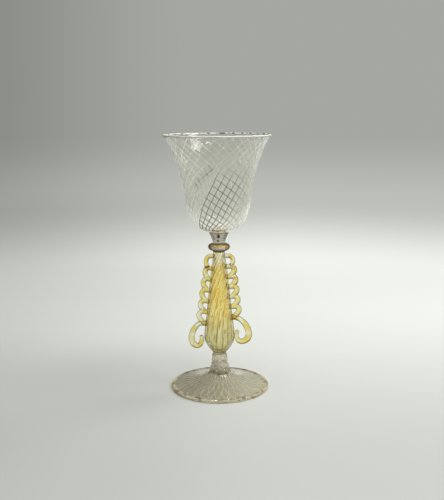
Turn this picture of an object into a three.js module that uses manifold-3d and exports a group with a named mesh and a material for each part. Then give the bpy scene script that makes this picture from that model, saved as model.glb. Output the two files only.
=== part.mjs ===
// A blown wine goblet in the Venetian manner, built bit by bit as it is at the furnace: a foot with a
// folded edge, two solid knops, a hollow spiral-ribbed stem with a pinched wing on either side, an amber
// ring, a fluted neck and a flaring cup. Millimetres, +Z up, the foot stands on z = 0, the wings lie in XZ.
import * as THREE from "three";
import { mergeVertices } from "three/addons/utils/BufferGeometryUtils.js";
import Module from "manifold-3d";

// Where a bit is fused to a curved neighbour, this thin clearance is left between the two solids.
const FUSE_GAP = 0.3;

// Foot: a thin trumpet-shaped disc whose edge lies on the ring that was folded under it.
const FOOT_RADIUS = 37.1;
const FOOT_RISE = 15.2;
const FOOT_SEAT_RADIUS = 7;
const FOOT_WALL = 1.5;
const FOOT_EDGE_THICKNESS = 1.3;
const FOOT_HOLLOW_DEPTH = 11.6;
const FOLD_THICKNESS = 1.3;
const FOLD_WIDTH = 3.4;
const FOLD_INNER_BEVEL = 0.4;
// How the foot climbs from its flat edge to its seat: [share of the way in, share of the way up].
const FOOT_CLIMB_SHARES = [
  [0, 0],
  [0.12, 0.04],
  [0.29, 0.115],
  [0.51, 0.23],
  [0.7, 0.37],
  [0.855, 0.55],
  [0.95, 0.76],
  [1, 1],
];

// Foot knop: a squat bead that spreads on to the foot and narrows to a waist.
const FOOT_KNOP_HEIGHT = 4.4;
const WAIST_RADIUS = 5.7;
// From seat to waist: [share of the way in, share of the height].
const FOOT_KNOP_SHARES = [
  [0, 0],
  [0.06, 0.24],
  [0.34, 0.55],
  [0.8, 0.8],
  [1, 1],
];

// Bead knop: a round bead with shallow twisted lobes.
const BEAD_HEIGHT = 6.7;
const BEAD_RADIUS = 5.95;
const BEAD_WIDEST_SHARE = 0.36;
const BEAD_LOBES = 6;
const BEAD_LOBE_DEPTH = 0.22;
const BEAD_TWIST = Math.PI / 3;

// Stem: a hollow pear of ribbed glass, widest near its foot, twisted hardest near its neck.
const STEM_LENGTH = 79.1;
const STEM_FOOT_RADIUS = 4.75;
const STEM_BELLY_RADIUS = 11.2;
const STEM_BELLY_HEIGHT = 12.6;
const STEM_NECK_RADIUS = 4.45;
const STEM_WALL = 1.9;
const STEM_BASE_THICKNESS = 4;
const STEM_BORE_RADIUS = 1.5;
const STEM_BORE_LENGTH = 12;
const STEM_RIBS = 16;
const STEM_RIB_DEPTH = 0.4;
const STEM_TWIST = 0.83 * Math.PI;
const STEM_TWIST_POWER = 3;
// The ribs fade out over this much of the stem at either end.
const STEM_RIB_FADE_SHARE = 0.12;
// From foot to belly: [share of the swelling, share of the height].
const STEM_FOOT_SHARES = [
  [0, 0],
  [0.09, 0.1],
  [0.26, 0.22],
  [0.49, 0.38],
  [0.8, 0.62],
  [0.97, 0.86],
  [1, 1],
];
// From belly to neck: [share of the swelling that is left, share of the height].
const STEM_TAPER_SHARES = [
  [0.995, 0.03],
  [0.945, 0.1],
  [0.765, 0.26],
  [0.58, 0.44],
  [0.415, 0.62],
  [0.262, 0.75],
  [0.11, 0.86],
  [0.012, 0.94],
  [0, 1],
];

// Amber ring between stem and neck.
const RING_RADIUS = 8.15;
const RING_HEIGHT = 5;
const RING_SEAT_RADIUS = 5.4;

// Neck: clear fluted glass that opens under the cup.
const NECK_HEIGHT = 9.2;
const NECK_BASE_RADIUS = 4.5;
const NECK_TOP_RADIUS = 8;
const NECK_FLUTES = 6;
const NECK_FLUTE_DEPTH = 0.55;
// From base to top: [share of the widening, share of the height].
const NECK_SHARES = [
  [0, 0],
  [0.07, 0.2],
  [0.5, 0.62],
  [1, 1],
];

// Cup: a bell with a flared lip, which leans a little to one side as hand-made cups do.
const CUP_HEIGHT = 70.4;
const CUP_RIM_RADIUS = 39;
const CUP_WALL = 1.3;
const CUP_BASE_THICKNESS = 3;
const CUP_LEAN = 1;
// Outer wall: [share of the rim's radius, share of the height].
const CUP_WALL_SHARES = [
  [0.205, 0],
  [0.285, 0.012],
  [0.392, 0.045],
  [0.482, 0.1],
  [0.549, 0.172],
  [0.602, 0.276],
  [0.637, 0.4],
  [0.677, 0.52],
  [0.727, 0.64],
  [0.793, 0.76],
  [0.86, 0.86],
  [0.94, 0.935],
  [1, 0.985],
];

// Wings: a rod of glass laid on the stem in waves and pinched, with a loop above and a scroll below.
const LEFT_ROD_RADIUS = 1.45;
const RIGHT_ROD_RADIUS = 1.65;
// The rod is this much thicker at the crest of each wave.
const CREST_SWELL = 0.25;
// How far the middle of the rod stands off the stem where the rod is fused to it.
const ROD_SEAT = 1;
const WAVES = 5;
// One wave: [share of its reach from the stem, share of its pitch downwards].
const WAVE_SHARES = [
  [0, 0],
  [0.38, -0.04],
  [0.8, 0.03],
  [1, 0.26],
  [0.88, 0.5],
  [0.48, 0.77],
  [0, 1],
];
const LOOP_RADIUS = 1.7;
// The top loop: [share of its reach from the stem, share of its drop].
const LOOP_SHARES = [
  [0, 0],
  [0.5, 0.01],
  [0.88, 0.2],
  [0.95, 0.42],
  [0.8, 0.68],
  [0.52, 0.95],
];
// How far under the ring the loop's upper end lies. The wing hangs from there.
const LEFT_RING_DROP = 4.6;
const LEFT_PITCH = 8.34;
const LEFT_LOOP_REACH = 3.75;
const LEFT_LOOP_DROP = 9.2;
const LEFT_TOP_REACH = 3.25;
const LEFT_BOTTOM_REACH = 4.75;
const LEFT_SCROLL_STEP = 0.7;
const LEFT_SCROLL_REACH = 9.6;
const LEFT_SCROLL_DROP = 17.1;
const LEFT_SCROLL_ROOT = 1.7;
const LEFT_SCROLL_BELLY = 2.35;
const LEFT_SCROLL_TIP = 1.65;
const LEFT_SCROLL_SHARES = [
  [0, 0],
  [0.37, 0],
  [0.69, 0.16],
  [0.93, 0.41],
  [1, 0.65],
  [0.94, 0.84],
  [0.78, 0.955],
  [0.52, 1],
  [0.29, 0.92],
  [0.2, 0.76],
  [0.2, 0.63],
  [0.3, 0.53],
];
const RIGHT_RING_DROP = 4.4;
const RIGHT_PITCH = 7.68;
const RIGHT_LOOP_REACH = 4.6;
const RIGHT_LOOP_DROP = 8.1;
const RIGHT_TOP_REACH = 4.3;
const RIGHT_BOTTOM_REACH = 4.5;
const RIGHT_SCROLL_STEP = 0.6;
const RIGHT_SCROLL_REACH = 11.25;
const RIGHT_SCROLL_DROP = 18.8;
const RIGHT_SCROLL_ROOT = 1.8;
const RIGHT_SCROLL_BELLY = 2.5;
const RIGHT_SCROLL_TIP = 1.45;
const RIGHT_SCROLL_SHARES = [
  [0, 0],
  [0.25, 0.03],
  [0.55, 0.145],
  [0.81, 0.33],
  [0.96, 0.54],
  [1, 0.72],
  [0.91, 0.88],
  [0.72, 0.97],
  [0.48, 1],
  [0.27, 0.93],
  [0.18, 0.79],
  [0.2, 0.62],
  [0.225, 0.51],
];

// Facets round each turned piece and each rod, and stations along them.
const CUP_SIDES = 40;
const FOOT_SIDES = 40;
const SMALL_SIDES = 30;
const CUTTER_SIDES = 72;
const SIDES_PER_RIB = 3;
const SIDES_PER_FLUTE = 6;
const ROD_SIDES = 8;
const CUP_STEPS = 16;
const FOOT_STEPS = 9;
const STEM_STEPS = 24;
const SMALL_STEPS = 5;
const WAVE_STEPS = 10;
const SCROLL_STEPS = 20;
const ROUND_STEPS = 3;
const MERGE_DISTANCE = 1e-4;

// Heights of the flat faces where each bit stands on the one below.
const footKnopBase = FOOT_RISE;
const beadBase = footKnopBase + FOOT_KNOP_HEIGHT;
const stemBase = beadBase + BEAD_HEIGHT;
const ringBase = stemBase + STEM_LENGTH;
const neckBase = ringBase + RING_HEIGHT;
const cupBase = neckBase + NECK_HEIGHT;

const { lerp, clamp, mapLinear } = THREE.MathUtils;
const wasm = await Module();
wasm.setup();

/** A smooth line through [radius, height] pairs, with its points closest where the pairs are. */
function smoothOutline(pairs, steps) {
  const curve = new THREE.SplineCurve(pairs.map(([radius, height]) => new THREE.Vector2(radius, height)));
  return curve.getPoints(steps);
}

/** [radius, height] pairs from [share of the way between two radii, share of a height] pairs. */
function scaleShares(shares, fromRadius, toRadius, height) {
  return shares.map(([across, up]) => [lerp(fromRadius, toRadius, across), height * up]);
}

/** A quarter turn from one outline point to the next, setting off square to the axis or along it. */
function quarterTurn(from, to, steps, setsOffSquare) {
  const points = [];
  for (let i = 1; i <= steps; i += 1) {
    const angle = (Math.PI / 2) * (i / steps);
    const early = Math.sin(angle);
    const late = 1 - Math.cos(angle);
    const across = setsOffSquare ? early : late;
    const along = setsOffSquare ? late : early;
    points.push(new THREE.Vector2(lerp(from.x, to.x, across), lerp(from.y, to.y, along)));
  }
  return points;
}

/** An outline moved to its left by a wall's thickness. */
function offsetOutline(line, wall) {
  return line.map((point, i) => {
    const before = line[Math.max(i - 1, 0)];
    const after = line[Math.min(i + 1, line.length - 1)];
    const along = after.clone().sub(before).normalize();
    return new THREE.Vector2(point.x - along.y * wall, point.y + along.x * wall);
  });
}

/** A solid of revolution about Z. The outline is [radius, height], going up on the outside. */
function turned(outline, sides) {
  const geometry = new THREE.LatheGeometry(outline, sides);
  geometry.rotateX(Math.PI / 2);
  return geometry;
}

/** Moves every vertex about the Z axis: `place` gives its new radius and angle. */
function reshape(geometry, place) {
  const position = geometry.attributes.position;
  for (let i = 0; i < position.count; i += 1) {
    const x = position.getX(i);
    const y = position.getY(i);
    const [radius, angle] = place(Math.hypot(x, y), Math.atan2(y, x), position.getZ(i));
    position.setXY(i, radius * Math.cos(angle), radius * Math.sin(angle));
  }
  return geometry;
}

/** A closed three.js geometry as a solid that can be joined and cut. */
function toSolid(geometry) {
  const bare = geometry.clone();
  bare.deleteAttribute("normal");
  bare.deleteAttribute("uv");
  const merged = mergeVertices(bare, MERGE_DISTANCE);
  return new wasm.Manifold(
    new wasm.Mesh({
      numProp: 3,
      vertProperties: merged.attributes.position.array,
      triVerts: new Uint32Array(merged.index.array),
    }),
  );
}

/** A solid as a three.js geometry. */
function toGeometry(solid) {
  const mesh = solid.getMesh();
  return new THREE.BufferGeometry()
    .setAttribute("position", new THREE.BufferAttribute(mesh.vertProperties, mesh.numProp))
    .setIndex(new THREE.BufferAttribute(mesh.triVerts, 1));
}

/** A rod bent along a curve in the XZ plane. `thickness` gives its radius at a share of its length. */
function bentRod(curve, thickness, steps, roundTip) {
  const bodyShare = roundTip ? 1 - thickness(1) / curve.getLength() : 1;
  const outline = [new THREE.Vector2(0, 0)];
  for (let i = 0; i <= steps; i += 1) {
    const share = bodyShare * (i / steps);
    outline.push(new THREE.Vector2(thickness(share), share));
  }
  const end = new THREE.Vector2(0, 1);
  if (roundTip) {
    outline.push(...quarterTurn(outline.at(-1), end, ROUND_STEPS, false));
  } else {
    outline.push(end);
  }
  const rod = new THREE.LatheGeometry(outline, ROD_SIDES);
  const position = rod.attributes.position;
  const sideways = new THREE.Vector3(0, 1, 0);
  for (let i = 0; i < position.count; i += 1) {
    const share = clamp(position.getY(i), 0, 1);
    const across = curve.getTangentAt(share).cross(sideways);
    const point = curve
      .getPointAt(share)
      .addScaledVector(across, position.getX(i))
      .addScaledVector(sideways, position.getZ(i));
    position.setXYZ(i, point.x, point.y, point.z);
  }
  return toSolid(rod);
}

/** The ring folded under the foot, flat above and below, with a round outer edge. */
function footFold() {
  const inner = FOOT_RADIUS - FOLD_WIDTH;
  const roundStart = new THREE.Vector2(FOOT_RADIUS - FOLD_THICKNESS, 0);
  const bevelStart = new THREE.Vector2(inner + FOLD_INNER_BEVEL, 0);
  const outline = [
    bevelStart,
    roundStart,
    ...quarterTurn(roundStart, new THREE.Vector2(FOOT_RADIUS, FOLD_THICKNESS), ROUND_STEPS, true),
    new THREE.Vector2(inner, FOLD_THICKNESS),
    new THREE.Vector2(inner, FOLD_INNER_BEVEL),
    bevelStart,
  ];
  return turned(outline, FOOT_SIDES);
}

/** The foot's thin disc, from its rounded edge up to the flat seat of the foot knop. */
function footDisc() {
  const edgeTop = FOLD_THICKNESS + FOOT_EDGE_THICKNESS;
  const flatStart = FOOT_RADIUS - FOLD_WIDTH;
  const climb = smoothOutline(
    scaleShares(FOOT_CLIMB_SHARES, flatStart, FOOT_SEAT_RADIUS, FOOT_RISE - edgeTop),
    FOOT_STEPS,
  ).map((point) => new THREE.Vector2(point.x, point.y + edgeTop));
  const edge = new THREE.Vector2(FOOT_RADIUS, FOLD_THICKNESS);
  const edgeRound = new THREE.Vector2(FOOT_RADIUS - FOOT_EDGE_THICKNESS, edgeTop);
  const under = offsetOutline(climb, FOOT_WALL)
    .reverse()
    .filter((point) => point.x < flatStart && point.y > FOLD_THICKNESS && point.y < FOOT_HOLLOW_DEPTH);
  const outline = [
    new THREE.Vector2(0, FOOT_HOLLOW_DEPTH),
    ...under,
    new THREE.Vector2(flatStart, FOLD_THICKNESS),
    edge,
    ...quarterTurn(edge, edgeRound, ROUND_STEPS, false),
    ...climb,
    new THREE.Vector2(0, FOOT_RISE),
  ];
  return turned(outline, FOOT_SIDES);
}

/** The foot knop, a squat bead that spreads on to the foot. */
function footKnop() {
  const outline = smoothOutline(
    scaleShares(FOOT_KNOP_SHARES, FOOT_SEAT_RADIUS, WAIST_RADIUS, FOOT_KNOP_HEIGHT),
    SMALL_STEPS,
  );
  const ends = [new THREE.Vector2(0, 0), new THREE.Vector2(0, FOOT_KNOP_HEIGHT)];
  return turned([ends[0], ...outline, ends[1]], SMALL_SIDES).translate(0, 0, footKnopBase);
}

/** The bead knop, whose twisted lobes fade out at its two flat ends. */
function beadKnop() {
  const low = new THREE.Vector2(WAIST_RADIUS, 0);
  const widest = new THREE.Vector2(BEAD_RADIUS, BEAD_HEIGHT * BEAD_WIDEST_SHARE);
  const high = new THREE.Vector2(STEM_FOOT_RADIUS, BEAD_HEIGHT);
  const outline = [
    new THREE.Vector2(0, 0),
    low,
    ...quarterTurn(low, widest, ROUND_STEPS, true),
    ...quarterTurn(widest, high, SMALL_STEPS, false),
    new THREE.Vector2(0, BEAD_HEIGHT),
  ];
  const geometry = turned(outline, SMALL_SIDES);
  reshape(geometry, (radius, angle, z) => {
    const up = clamp(z / BEAD_HEIGHT, 0, 1);
    const lobe = BEAD_LOBE_DEPTH * Math.sin(Math.PI * up) * Math.cos(BEAD_LOBES * angle);
    return [radius === 0 ? radius : radius + lobe, angle + BEAD_TWIST * up];
  });
  return geometry.translate(0, 0, beadBase);
}

/** The stem's mean outer outline above its own foot, half-way between its ribs and furrows. */
const stemTaperLength = STEM_LENGTH - STEM_BELLY_HEIGHT;
const stemOutline = smoothOutline(
  [
    ...scaleShares(STEM_FOOT_SHARES, STEM_FOOT_RADIUS, STEM_BELLY_RADIUS, STEM_BELLY_HEIGHT),
    ...scaleShares(STEM_TAPER_SHARES, STEM_NECK_RADIUS, STEM_BELLY_RADIUS, stemTaperLength).map(
      ([radius, height]) => [radius, height + STEM_BELLY_HEIGHT],
    ),
  ],
  STEM_STEPS,
);

/** The stem's outer radius at a height above the table. */
function stemRadiusAt(height) {
  const z = clamp(height - stemBase, 0, STEM_LENGTH);
  const above = Math.max(
    1,
    stemOutline.findIndex((point) => point.y >= z),
  );
  const low = stemOutline[above - 1];
  const high = stemOutline[above];
  return mapLinear(z, low.y, high.y, low.x, high.x);
}

/** The hollow stem. Its bubble opens through a narrow bore in the neck, which the ring closes. */
function stem() {
  const boreStart = STEM_LENGTH - STEM_BORE_LENGTH;
  const bubble = offsetOutline(stemOutline, STEM_WALL)
    .filter((point) => point.y > STEM_BASE_THICKNESS && point.y < boreStart && point.x > STEM_BORE_RADIUS)
    .reverse();
  const outline = [
    new THREE.Vector2(0, 0),
    ...stemOutline,
    new THREE.Vector2(STEM_BORE_RADIUS, STEM_LENGTH),
    new THREE.Vector2(STEM_BORE_RADIUS, boreStart),
    ...bubble,
    new THREE.Vector2(0, STEM_BASE_THICKNESS),
  ];
  const geometry = turned(outline, STEM_RIBS * SIDES_PER_RIB);
  reshape(geometry, (radius, angle, z) => {
    const up = clamp(z / STEM_LENGTH, 0, 1);
    const fade = Math.min(1, up / STEM_RIB_FADE_SHARE, (1 - up) / STEM_RIB_FADE_SHARE);
    const rib = (STEM_RIB_DEPTH / 2) * fade * Math.cos(STEM_RIBS * angle);
    const outside = radius > stemRadiusAt(stemBase + z) - STEM_WALL / 2;
    return [outside ? radius + rib : radius, angle + STEM_TWIST * up ** STEM_TWIST_POWER];
  });
  return geometry.translate(0, 0, stemBase);
}

/** The space that the stem takes up with the fusing gap round it, which cuts the rods laid on it. */
function stemSpace() {
  const margin = STEM_RIB_DEPTH / 2 + FUSE_GAP;
  const outline = stemOutline.map((point) => new THREE.Vector2(point.x + margin, point.y));
  const ends = [new THREE.Vector2(0, 0), new THREE.Vector2(0, STEM_LENGTH)];
  return toSolid(turned([ends[0], ...outline, ends[1]], CUTTER_SIDES).translate(0, 0, stemBase));
}

/** The amber ring, with two flat seats and a fully round edge. */
function amberRing() {
  const low = new THREE.Vector2(RING_SEAT_RADIUS, 0);
  const widest = new THREE.Vector2(RING_RADIUS, RING_HEIGHT / 2);
  const high = new THREE.Vector2(RING_SEAT_RADIUS, RING_HEIGHT);
  const outline = [
    new THREE.Vector2(0, 0),
    low,
    ...quarterTurn(low, widest, SMALL_STEPS, true),
    ...quarterTurn(widest, high, SMALL_STEPS, false),
    new THREE.Vector2(0, RING_HEIGHT),
  ];
  return turned(outline, SMALL_SIDES).translate(0, 0, ringBase);
}

/** The clear neck, whose flutes deepen as it opens under the cup. */
function flutedNeck() {
  const outline = smoothOutline(
    scaleShares(NECK_SHARES, NECK_BASE_RADIUS, NECK_TOP_RADIUS, NECK_HEIGHT),
    SMALL_STEPS,
  );
  const ends = [new THREE.Vector2(0, 0), new THREE.Vector2(0, NECK_HEIGHT)];
  const geometry = turned([ends[0], ...outline, ends[1]], NECK_FLUTES * SIDES_PER_FLUTE);
  reshape(geometry, (radius, angle, z) => {
    const depth = NECK_FLUTE_DEPTH * (z / NECK_HEIGHT);
    const flute = depth * ((1 - Math.cos(NECK_FLUTES * angle)) / 2);
    return [radius === 0 ? radius : radius - flute, angle];
  });
  return geometry.translate(0, 0, neckBase);
}

/** The cup, leaning a little towards -X, with a round fire-polished lip. */
function cup() {
  const outer = smoothOutline(scaleShares(CUP_WALL_SHARES, 0, CUP_RIM_RADIUS, CUP_HEIGHT), CUP_STEPS);
  const inner = offsetOutline(outer, CUP_WALL).filter((point) => point.y > CUP_BASE_THICKNESS);
  const lipOut = outer.at(-1);
  const lipIn = inner.at(-1);
  const lipTop = new THREE.Vector2((lipOut.x + lipIn.x) / 2, CUP_HEIGHT);
  const outline = [
    new THREE.Vector2(0, 0),
    ...outer,
    ...quarterTurn(lipOut, lipTop, ROUND_STEPS, false),
    ...quarterTurn(lipTop, lipIn, ROUND_STEPS, true).slice(0, -1),
    ...inner.reverse(),
    new THREE.Vector2(0, CUP_BASE_THICKNESS),
  ];
  const geometry = turned(outline, CUP_SIDES);
  const position = geometry.attributes.position;
  for (let i = 0; i < position.count; i += 1) {
    position.setX(i, position.getX(i) - CUP_LEAN * (position.getZ(i) / CUP_HEIGHT));
  }
  return geometry.translate(0, 0, cupBase);
}

/** A curve beside the stem from [share of a reach, share of a drop] pairs, starting at a height. */
function curveBesideStem(side, shares, reach, top, drop) {
  const points = shares.map(([out, down]) => {
    const z = top - drop * down;
    return new THREE.Vector3(side * (stemRadiusAt(z) + ROD_SEAT + reach * out), 0, z);
  });
  return new THREE.CatmullRomCurve3(points);
}

/** The waves of one wing as one solid, with some extra thickness all round. */
function waves(wing, extra) {
  let chain = null;
  for (let k = 0; k < WAVES; k += 1) {
    const reach = lerp(wing.topReach, wing.bottomReach, k / (WAVES - 1));
    const curve = curveBesideStem(wing.side, WAVE_SHARES, reach, wing.top - wing.pitch * k, wing.pitch);
    const thickness = (share) => wing.rodRadius + CREST_SWELL * Math.sin(Math.PI * share) + extra;
    const rod = bentRod(curve, thickness, WAVE_STEPS, false);
    chain = chain ? chain.add(rod) : rod;
  }
  return chain;
}

/** The loop that joins the top of the waves to the stem's neck. */
function topLoop(wing) {
  const top = wing.top + wing.loopDrop;
  const curve = curveBesideStem(wing.side, LOOP_SHARES, wing.loopReach, top, wing.loopDrop);
  return bentRod(curve, () => LOOP_RADIUS, WAVE_STEPS, false);
}

/** The scroll below the waves, which swells in the middle and ends in a curl against the stem. */
function scroll(wing) {
  const start = wing.top - wing.pitch * WAVES - wing.scrollStep;
  const root = stemRadiusAt(start) + ROD_SEAT;
  const points = wing.scrollShares.map(([out, down]) => {
    const x = wing.side * (root + wing.scrollReach * out);
    return new THREE.Vector3(x, 0, start - wing.scrollDrop * down);
  });
  const thickness = (share) => {
    const swell = Math.sin(Math.PI * share) ** 2;
    return lerp(lerp(wing.scrollRoot, wing.scrollTip, share), wing.scrollBelly, swell);
  };
  return bentRod(new THREE.CatmullRomCurve3(points), thickness, SCROLL_STEPS, true);
}

const LEFT_WING = {
  side: -1,
  top: ringBase - LEFT_RING_DROP - LEFT_LOOP_DROP,
  pitch: LEFT_PITCH,
  rodRadius: LEFT_ROD_RADIUS,
  loopReach: LEFT_LOOP_REACH,
  loopDrop: LEFT_LOOP_DROP,
  topReach: LEFT_TOP_REACH,
  bottomReach: LEFT_BOTTOM_REACH,
  scrollStep: LEFT_SCROLL_STEP,
  scrollReach: LEFT_SCROLL_REACH,
  scrollDrop: LEFT_SCROLL_DROP,
  scrollRoot: LEFT_SCROLL_ROOT,
  scrollBelly: LEFT_SCROLL_BELLY,
  scrollTip: LEFT_SCROLL_TIP,
  scrollShares: LEFT_SCROLL_SHARES,
};
const RIGHT_WING = {
  side: 1,
  top: ringBase - RIGHT_RING_DROP - RIGHT_LOOP_DROP,
  pitch: RIGHT_PITCH,
  rodRadius: RIGHT_ROD_RADIUS,
  loopReach: RIGHT_LOOP_REACH,
  loopDrop: RIGHT_LOOP_DROP,
  topReach: RIGHT_TOP_REACH,
  bottomReach: RIGHT_BOTTOM_REACH,
  scrollStep: RIGHT_SCROLL_STEP,
  scrollReach: RIGHT_SCROLL_REACH,
  scrollDrop: RIGHT_SCROLL_DROP,
  scrollRoot: RIGHT_SCROLL_ROOT,
  scrollBelly: RIGHT_SCROLL_BELLY,
  scrollTip: RIGHT_SCROLL_TIP,
  scrollShares: RIGHT_SCROLL_SHARES,
};

const clearGlass = new THREE.MeshStandardMaterial({ color: 0xd9dcd2, roughness: 0.05, metalness: 0 });
const netGlass = new THREE.MeshStandardMaterial({ color: 0xcfd2c6, roughness: 0.08, metalness: 0 });
const strawGlass = new THREE.MeshStandardMaterial({ color: 0xdcc878, roughness: 0.06, metalness: 0 });
const goldGlass = new THREE.MeshStandardMaterial({ color: 0xc79a3a, roughness: 0.06, metalness: 0 });
const amberGlass = new THREE.MeshStandardMaterial({ color: 0x8a6420, roughness: 0.05, metalness: 0 });

const goblet = new THREE.Group();

/** Adds one named piece to the goblet. */
function place(name, geometry, material) {
  geometry.computeVertexNormals();
  const mesh = new THREE.Mesh(geometry, material);
  mesh.name = name;
  goblet.add(mesh);
}

place("foot_folded_edge", footFold(), netGlass);
place("foot_disc", footDisc(), netGlass);
place("foot_knop", footKnop(), clearGlass);
place("bead_knop", beadKnop(), clearGlass);
place("stem_baluster", stem(), goldGlass);
place("amber_ring", amberRing(), amberGlass);
place("fluted_neck", flutedNeck(), clearGlass);
place("cup", cup(), netGlass);

const taken = stemSpace();
for (const [sideName, wing] of [
  ["left", LEFT_WING],
  ["right", RIGHT_WING],
]) {
  const chain = waves(wing, 0);
  const chainSpace = waves(wing, FUSE_GAP);
  place(`${sideName}_wing_waves`, toGeometry(chain.subtract(taken)), strawGlass);
  place(`${sideName}_wing_loop`, toGeometry(topLoop(wing).subtract(taken).subtract(chainSpace)), strawGlass);
  place(`${sideName}_wing_scroll`, toGeometry(scroll(wing).subtract(taken).subtract(chainSpace)), strawGlass);
}

export default goblet;
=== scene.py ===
"""A blown glass goblet in the Venetian manner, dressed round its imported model.

Metres, +Z up. The foot stands on z = 0 and the wings spread along X. -Y is the side that the photograph
shows.
"""

from __future__ import annotations

import logging
import math
from collections.abc import Callable, Iterable, Sequence
from dataclasses import dataclass, field
from enum import Enum

import bmesh
import bpy
from mathutils import Matrix, Vector

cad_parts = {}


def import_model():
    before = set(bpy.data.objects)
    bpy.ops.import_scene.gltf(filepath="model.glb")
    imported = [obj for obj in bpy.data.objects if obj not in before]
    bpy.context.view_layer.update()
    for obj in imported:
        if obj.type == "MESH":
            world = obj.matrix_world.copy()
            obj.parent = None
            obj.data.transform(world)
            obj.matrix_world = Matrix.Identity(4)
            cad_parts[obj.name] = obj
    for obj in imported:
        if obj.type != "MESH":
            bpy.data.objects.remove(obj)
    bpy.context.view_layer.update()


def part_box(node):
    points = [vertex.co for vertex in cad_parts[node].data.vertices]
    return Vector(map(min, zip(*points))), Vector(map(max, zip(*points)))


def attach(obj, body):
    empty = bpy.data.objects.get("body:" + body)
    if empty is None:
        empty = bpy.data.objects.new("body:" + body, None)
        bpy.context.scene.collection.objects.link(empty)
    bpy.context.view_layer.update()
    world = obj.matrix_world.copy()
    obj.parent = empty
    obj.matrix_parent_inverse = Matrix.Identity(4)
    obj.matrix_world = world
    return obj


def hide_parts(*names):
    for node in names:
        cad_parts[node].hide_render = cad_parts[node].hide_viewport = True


LOG = logging.getLogger("goblet")
MM = 0.001
# A full turn in radians and in degrees.
FULL_TURN = 2 * math.pi
FULL_DEGREES = 360
# Pieces that are fused reach this far into each other, so that no film of air shows between them.
FUSED = 0.05 * MM
# Points of a mesh that are closer than this are one.
MERGED = MM / 1000
# Points nearer to the axis than this keep their radius when a piece is lobed or fluted.
CORE = 1 * MM
# The facets round a net thread.
THREAD_SIDES = 6
# Where a Mix node keeps its factor and its two colours among its inputs, and the mixed colour.
MIX_INPUTS = (0, 6, 7)
MIX_RESULT = 2

Colour = tuple[float, float, float]
Outline = list[Vector]
# Gives a point's new radius, angle and height from its old ones.
Placing = Callable[[float, float, float], tuple[float, float, float]]
# Where a blend starts and ends, and its values there.
Blend = tuple[float, float, float, float]


class Slot(Enum):
    """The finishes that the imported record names."""

    CLEAR = "clear_glass"
    NET = "net_glass"
    STRAW = "straw_glass"
    GOLD = "gold_glass"
    AMBER = "amber_glass"


class Side(Enum):
    """The side of the stem that a wing is on, as the photograph shows it."""

    LEFT = -1
    RIGHT = 1


# Lines and outlines


def clamped(share: float) -> float:
    """A share, held between nought and one."""
    return min(max(share, 0), 1)


def smooth_line(points: Sequence[Vector], steps: int) -> Outline:
    """Runs a smooth curve through points, without loops where they lie unevenly.

    Args:
        points: The points that the curve passes through.
        steps: The number of steps from each point to the next.

    Returns:
        The curve's points, with both ends.
    """
    first, last = 2 * points[0] - points[1], 2 * points[-1] - points[-2]
    ends = [first, *points, last]
    line = []
    for a, b, c, d in zip(ends, ends[1:], ends[2:], ends[3:]):
        t1 = math.sqrt((b - a).length)
        t2 = t1 + math.sqrt((c - b).length)
        t3 = t2 + math.sqrt((d - c).length)
        for i in range(steps):
            t = t1 + (t2 - t1) * i / steps
            ab, bc, cd = a.lerp(b, t / t1), b.lerp(c, (t - t1) / (t2 - t1)), c.lerp(d, (t - t2) / (t3 - t2))
            abc, bcd = ab.lerp(bc, t / t2), bc.lerp(cd, (t - t1) / (t3 - t1))
            line.append(abc.lerp(bcd, (t - t1) / (t2 - t1)))
    return [*line, points[-1].copy()]


def share_outline(shares: Sequence[tuple[float, float]], low: Vector, high: Vector, steps: int) -> Outline:
    """A smooth outline from shares of the way between two corners.

    Args:
        shares: Pairs of the share across and the share up.
        low: The radius and height where both shares are nought.
        high: The radius and height where both shares are one.
        steps: The number of steps between one pair and the next.

    Returns:
        Points of radius and height.
    """
    across, up = high.x - low.x, high.y - low.y
    return smooth_line([Vector((low.x + across * a, low.y + up * b)) for a, b in shares], steps)


def quarter_turn(start: Vector, end: Vector, steps: int, sets_off_square: bool) -> Outline:
    """A quarter turn between two outline points, which leaves out its first point.

    Args:
        start: Where the turn begins.
        end: Where the turn ends.
        steps: The number of steps.
        sets_off_square: Whether it sets off square to the axis rather than along it.

    Returns:
        Points of radius and height.
    """
    turn = []
    for i in range(1, steps + 1):
        angle = math.pi / 2 * i / steps
        early, late = math.sin(angle), 1 - math.cos(angle)
        across, along = (early, late) if sets_off_square else (late, early)
        turn.append(Vector((start.x + (end.x - start.x) * across, start.y + (end.y - start.y) * along)))
    return turn


def offset_outline(line: Outline, wall: float) -> Outline:
    """The same outline moved to its left by a wall's thickness.

    Args:
        line: Points of radius and height.
        wall: How far they move.

    Returns:
        The moved points.
    """
    moved = []
    for i, point in enumerate(line):
        along = (line[min(i + 1, len(line) - 1)] - line[max(i - 1, 0)]).normalized()
        moved.append(Vector((point.x - along.y * wall, point.y + along.x * wall)))
    return moved


def value_at(line: Outline, height: float) -> float:
    """What a climbing line reads across at a height, such as an outline's radius.

    Args:
        line: The line's points, from the lowest.
        height: The height to read it at.

    Returns:
        The line's X there, or at its nearer end where the height is past it.
    """
    for low, high in zip(line, line[1:]):
        if low.y <= height <= high.y and high.y > low.y:
            return low.x + (high.x - low.x) * (height - low.y) / (high.y - low.y)
    return line[0].x if height < line[0].y else line[-1].x


# Meshes


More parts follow.
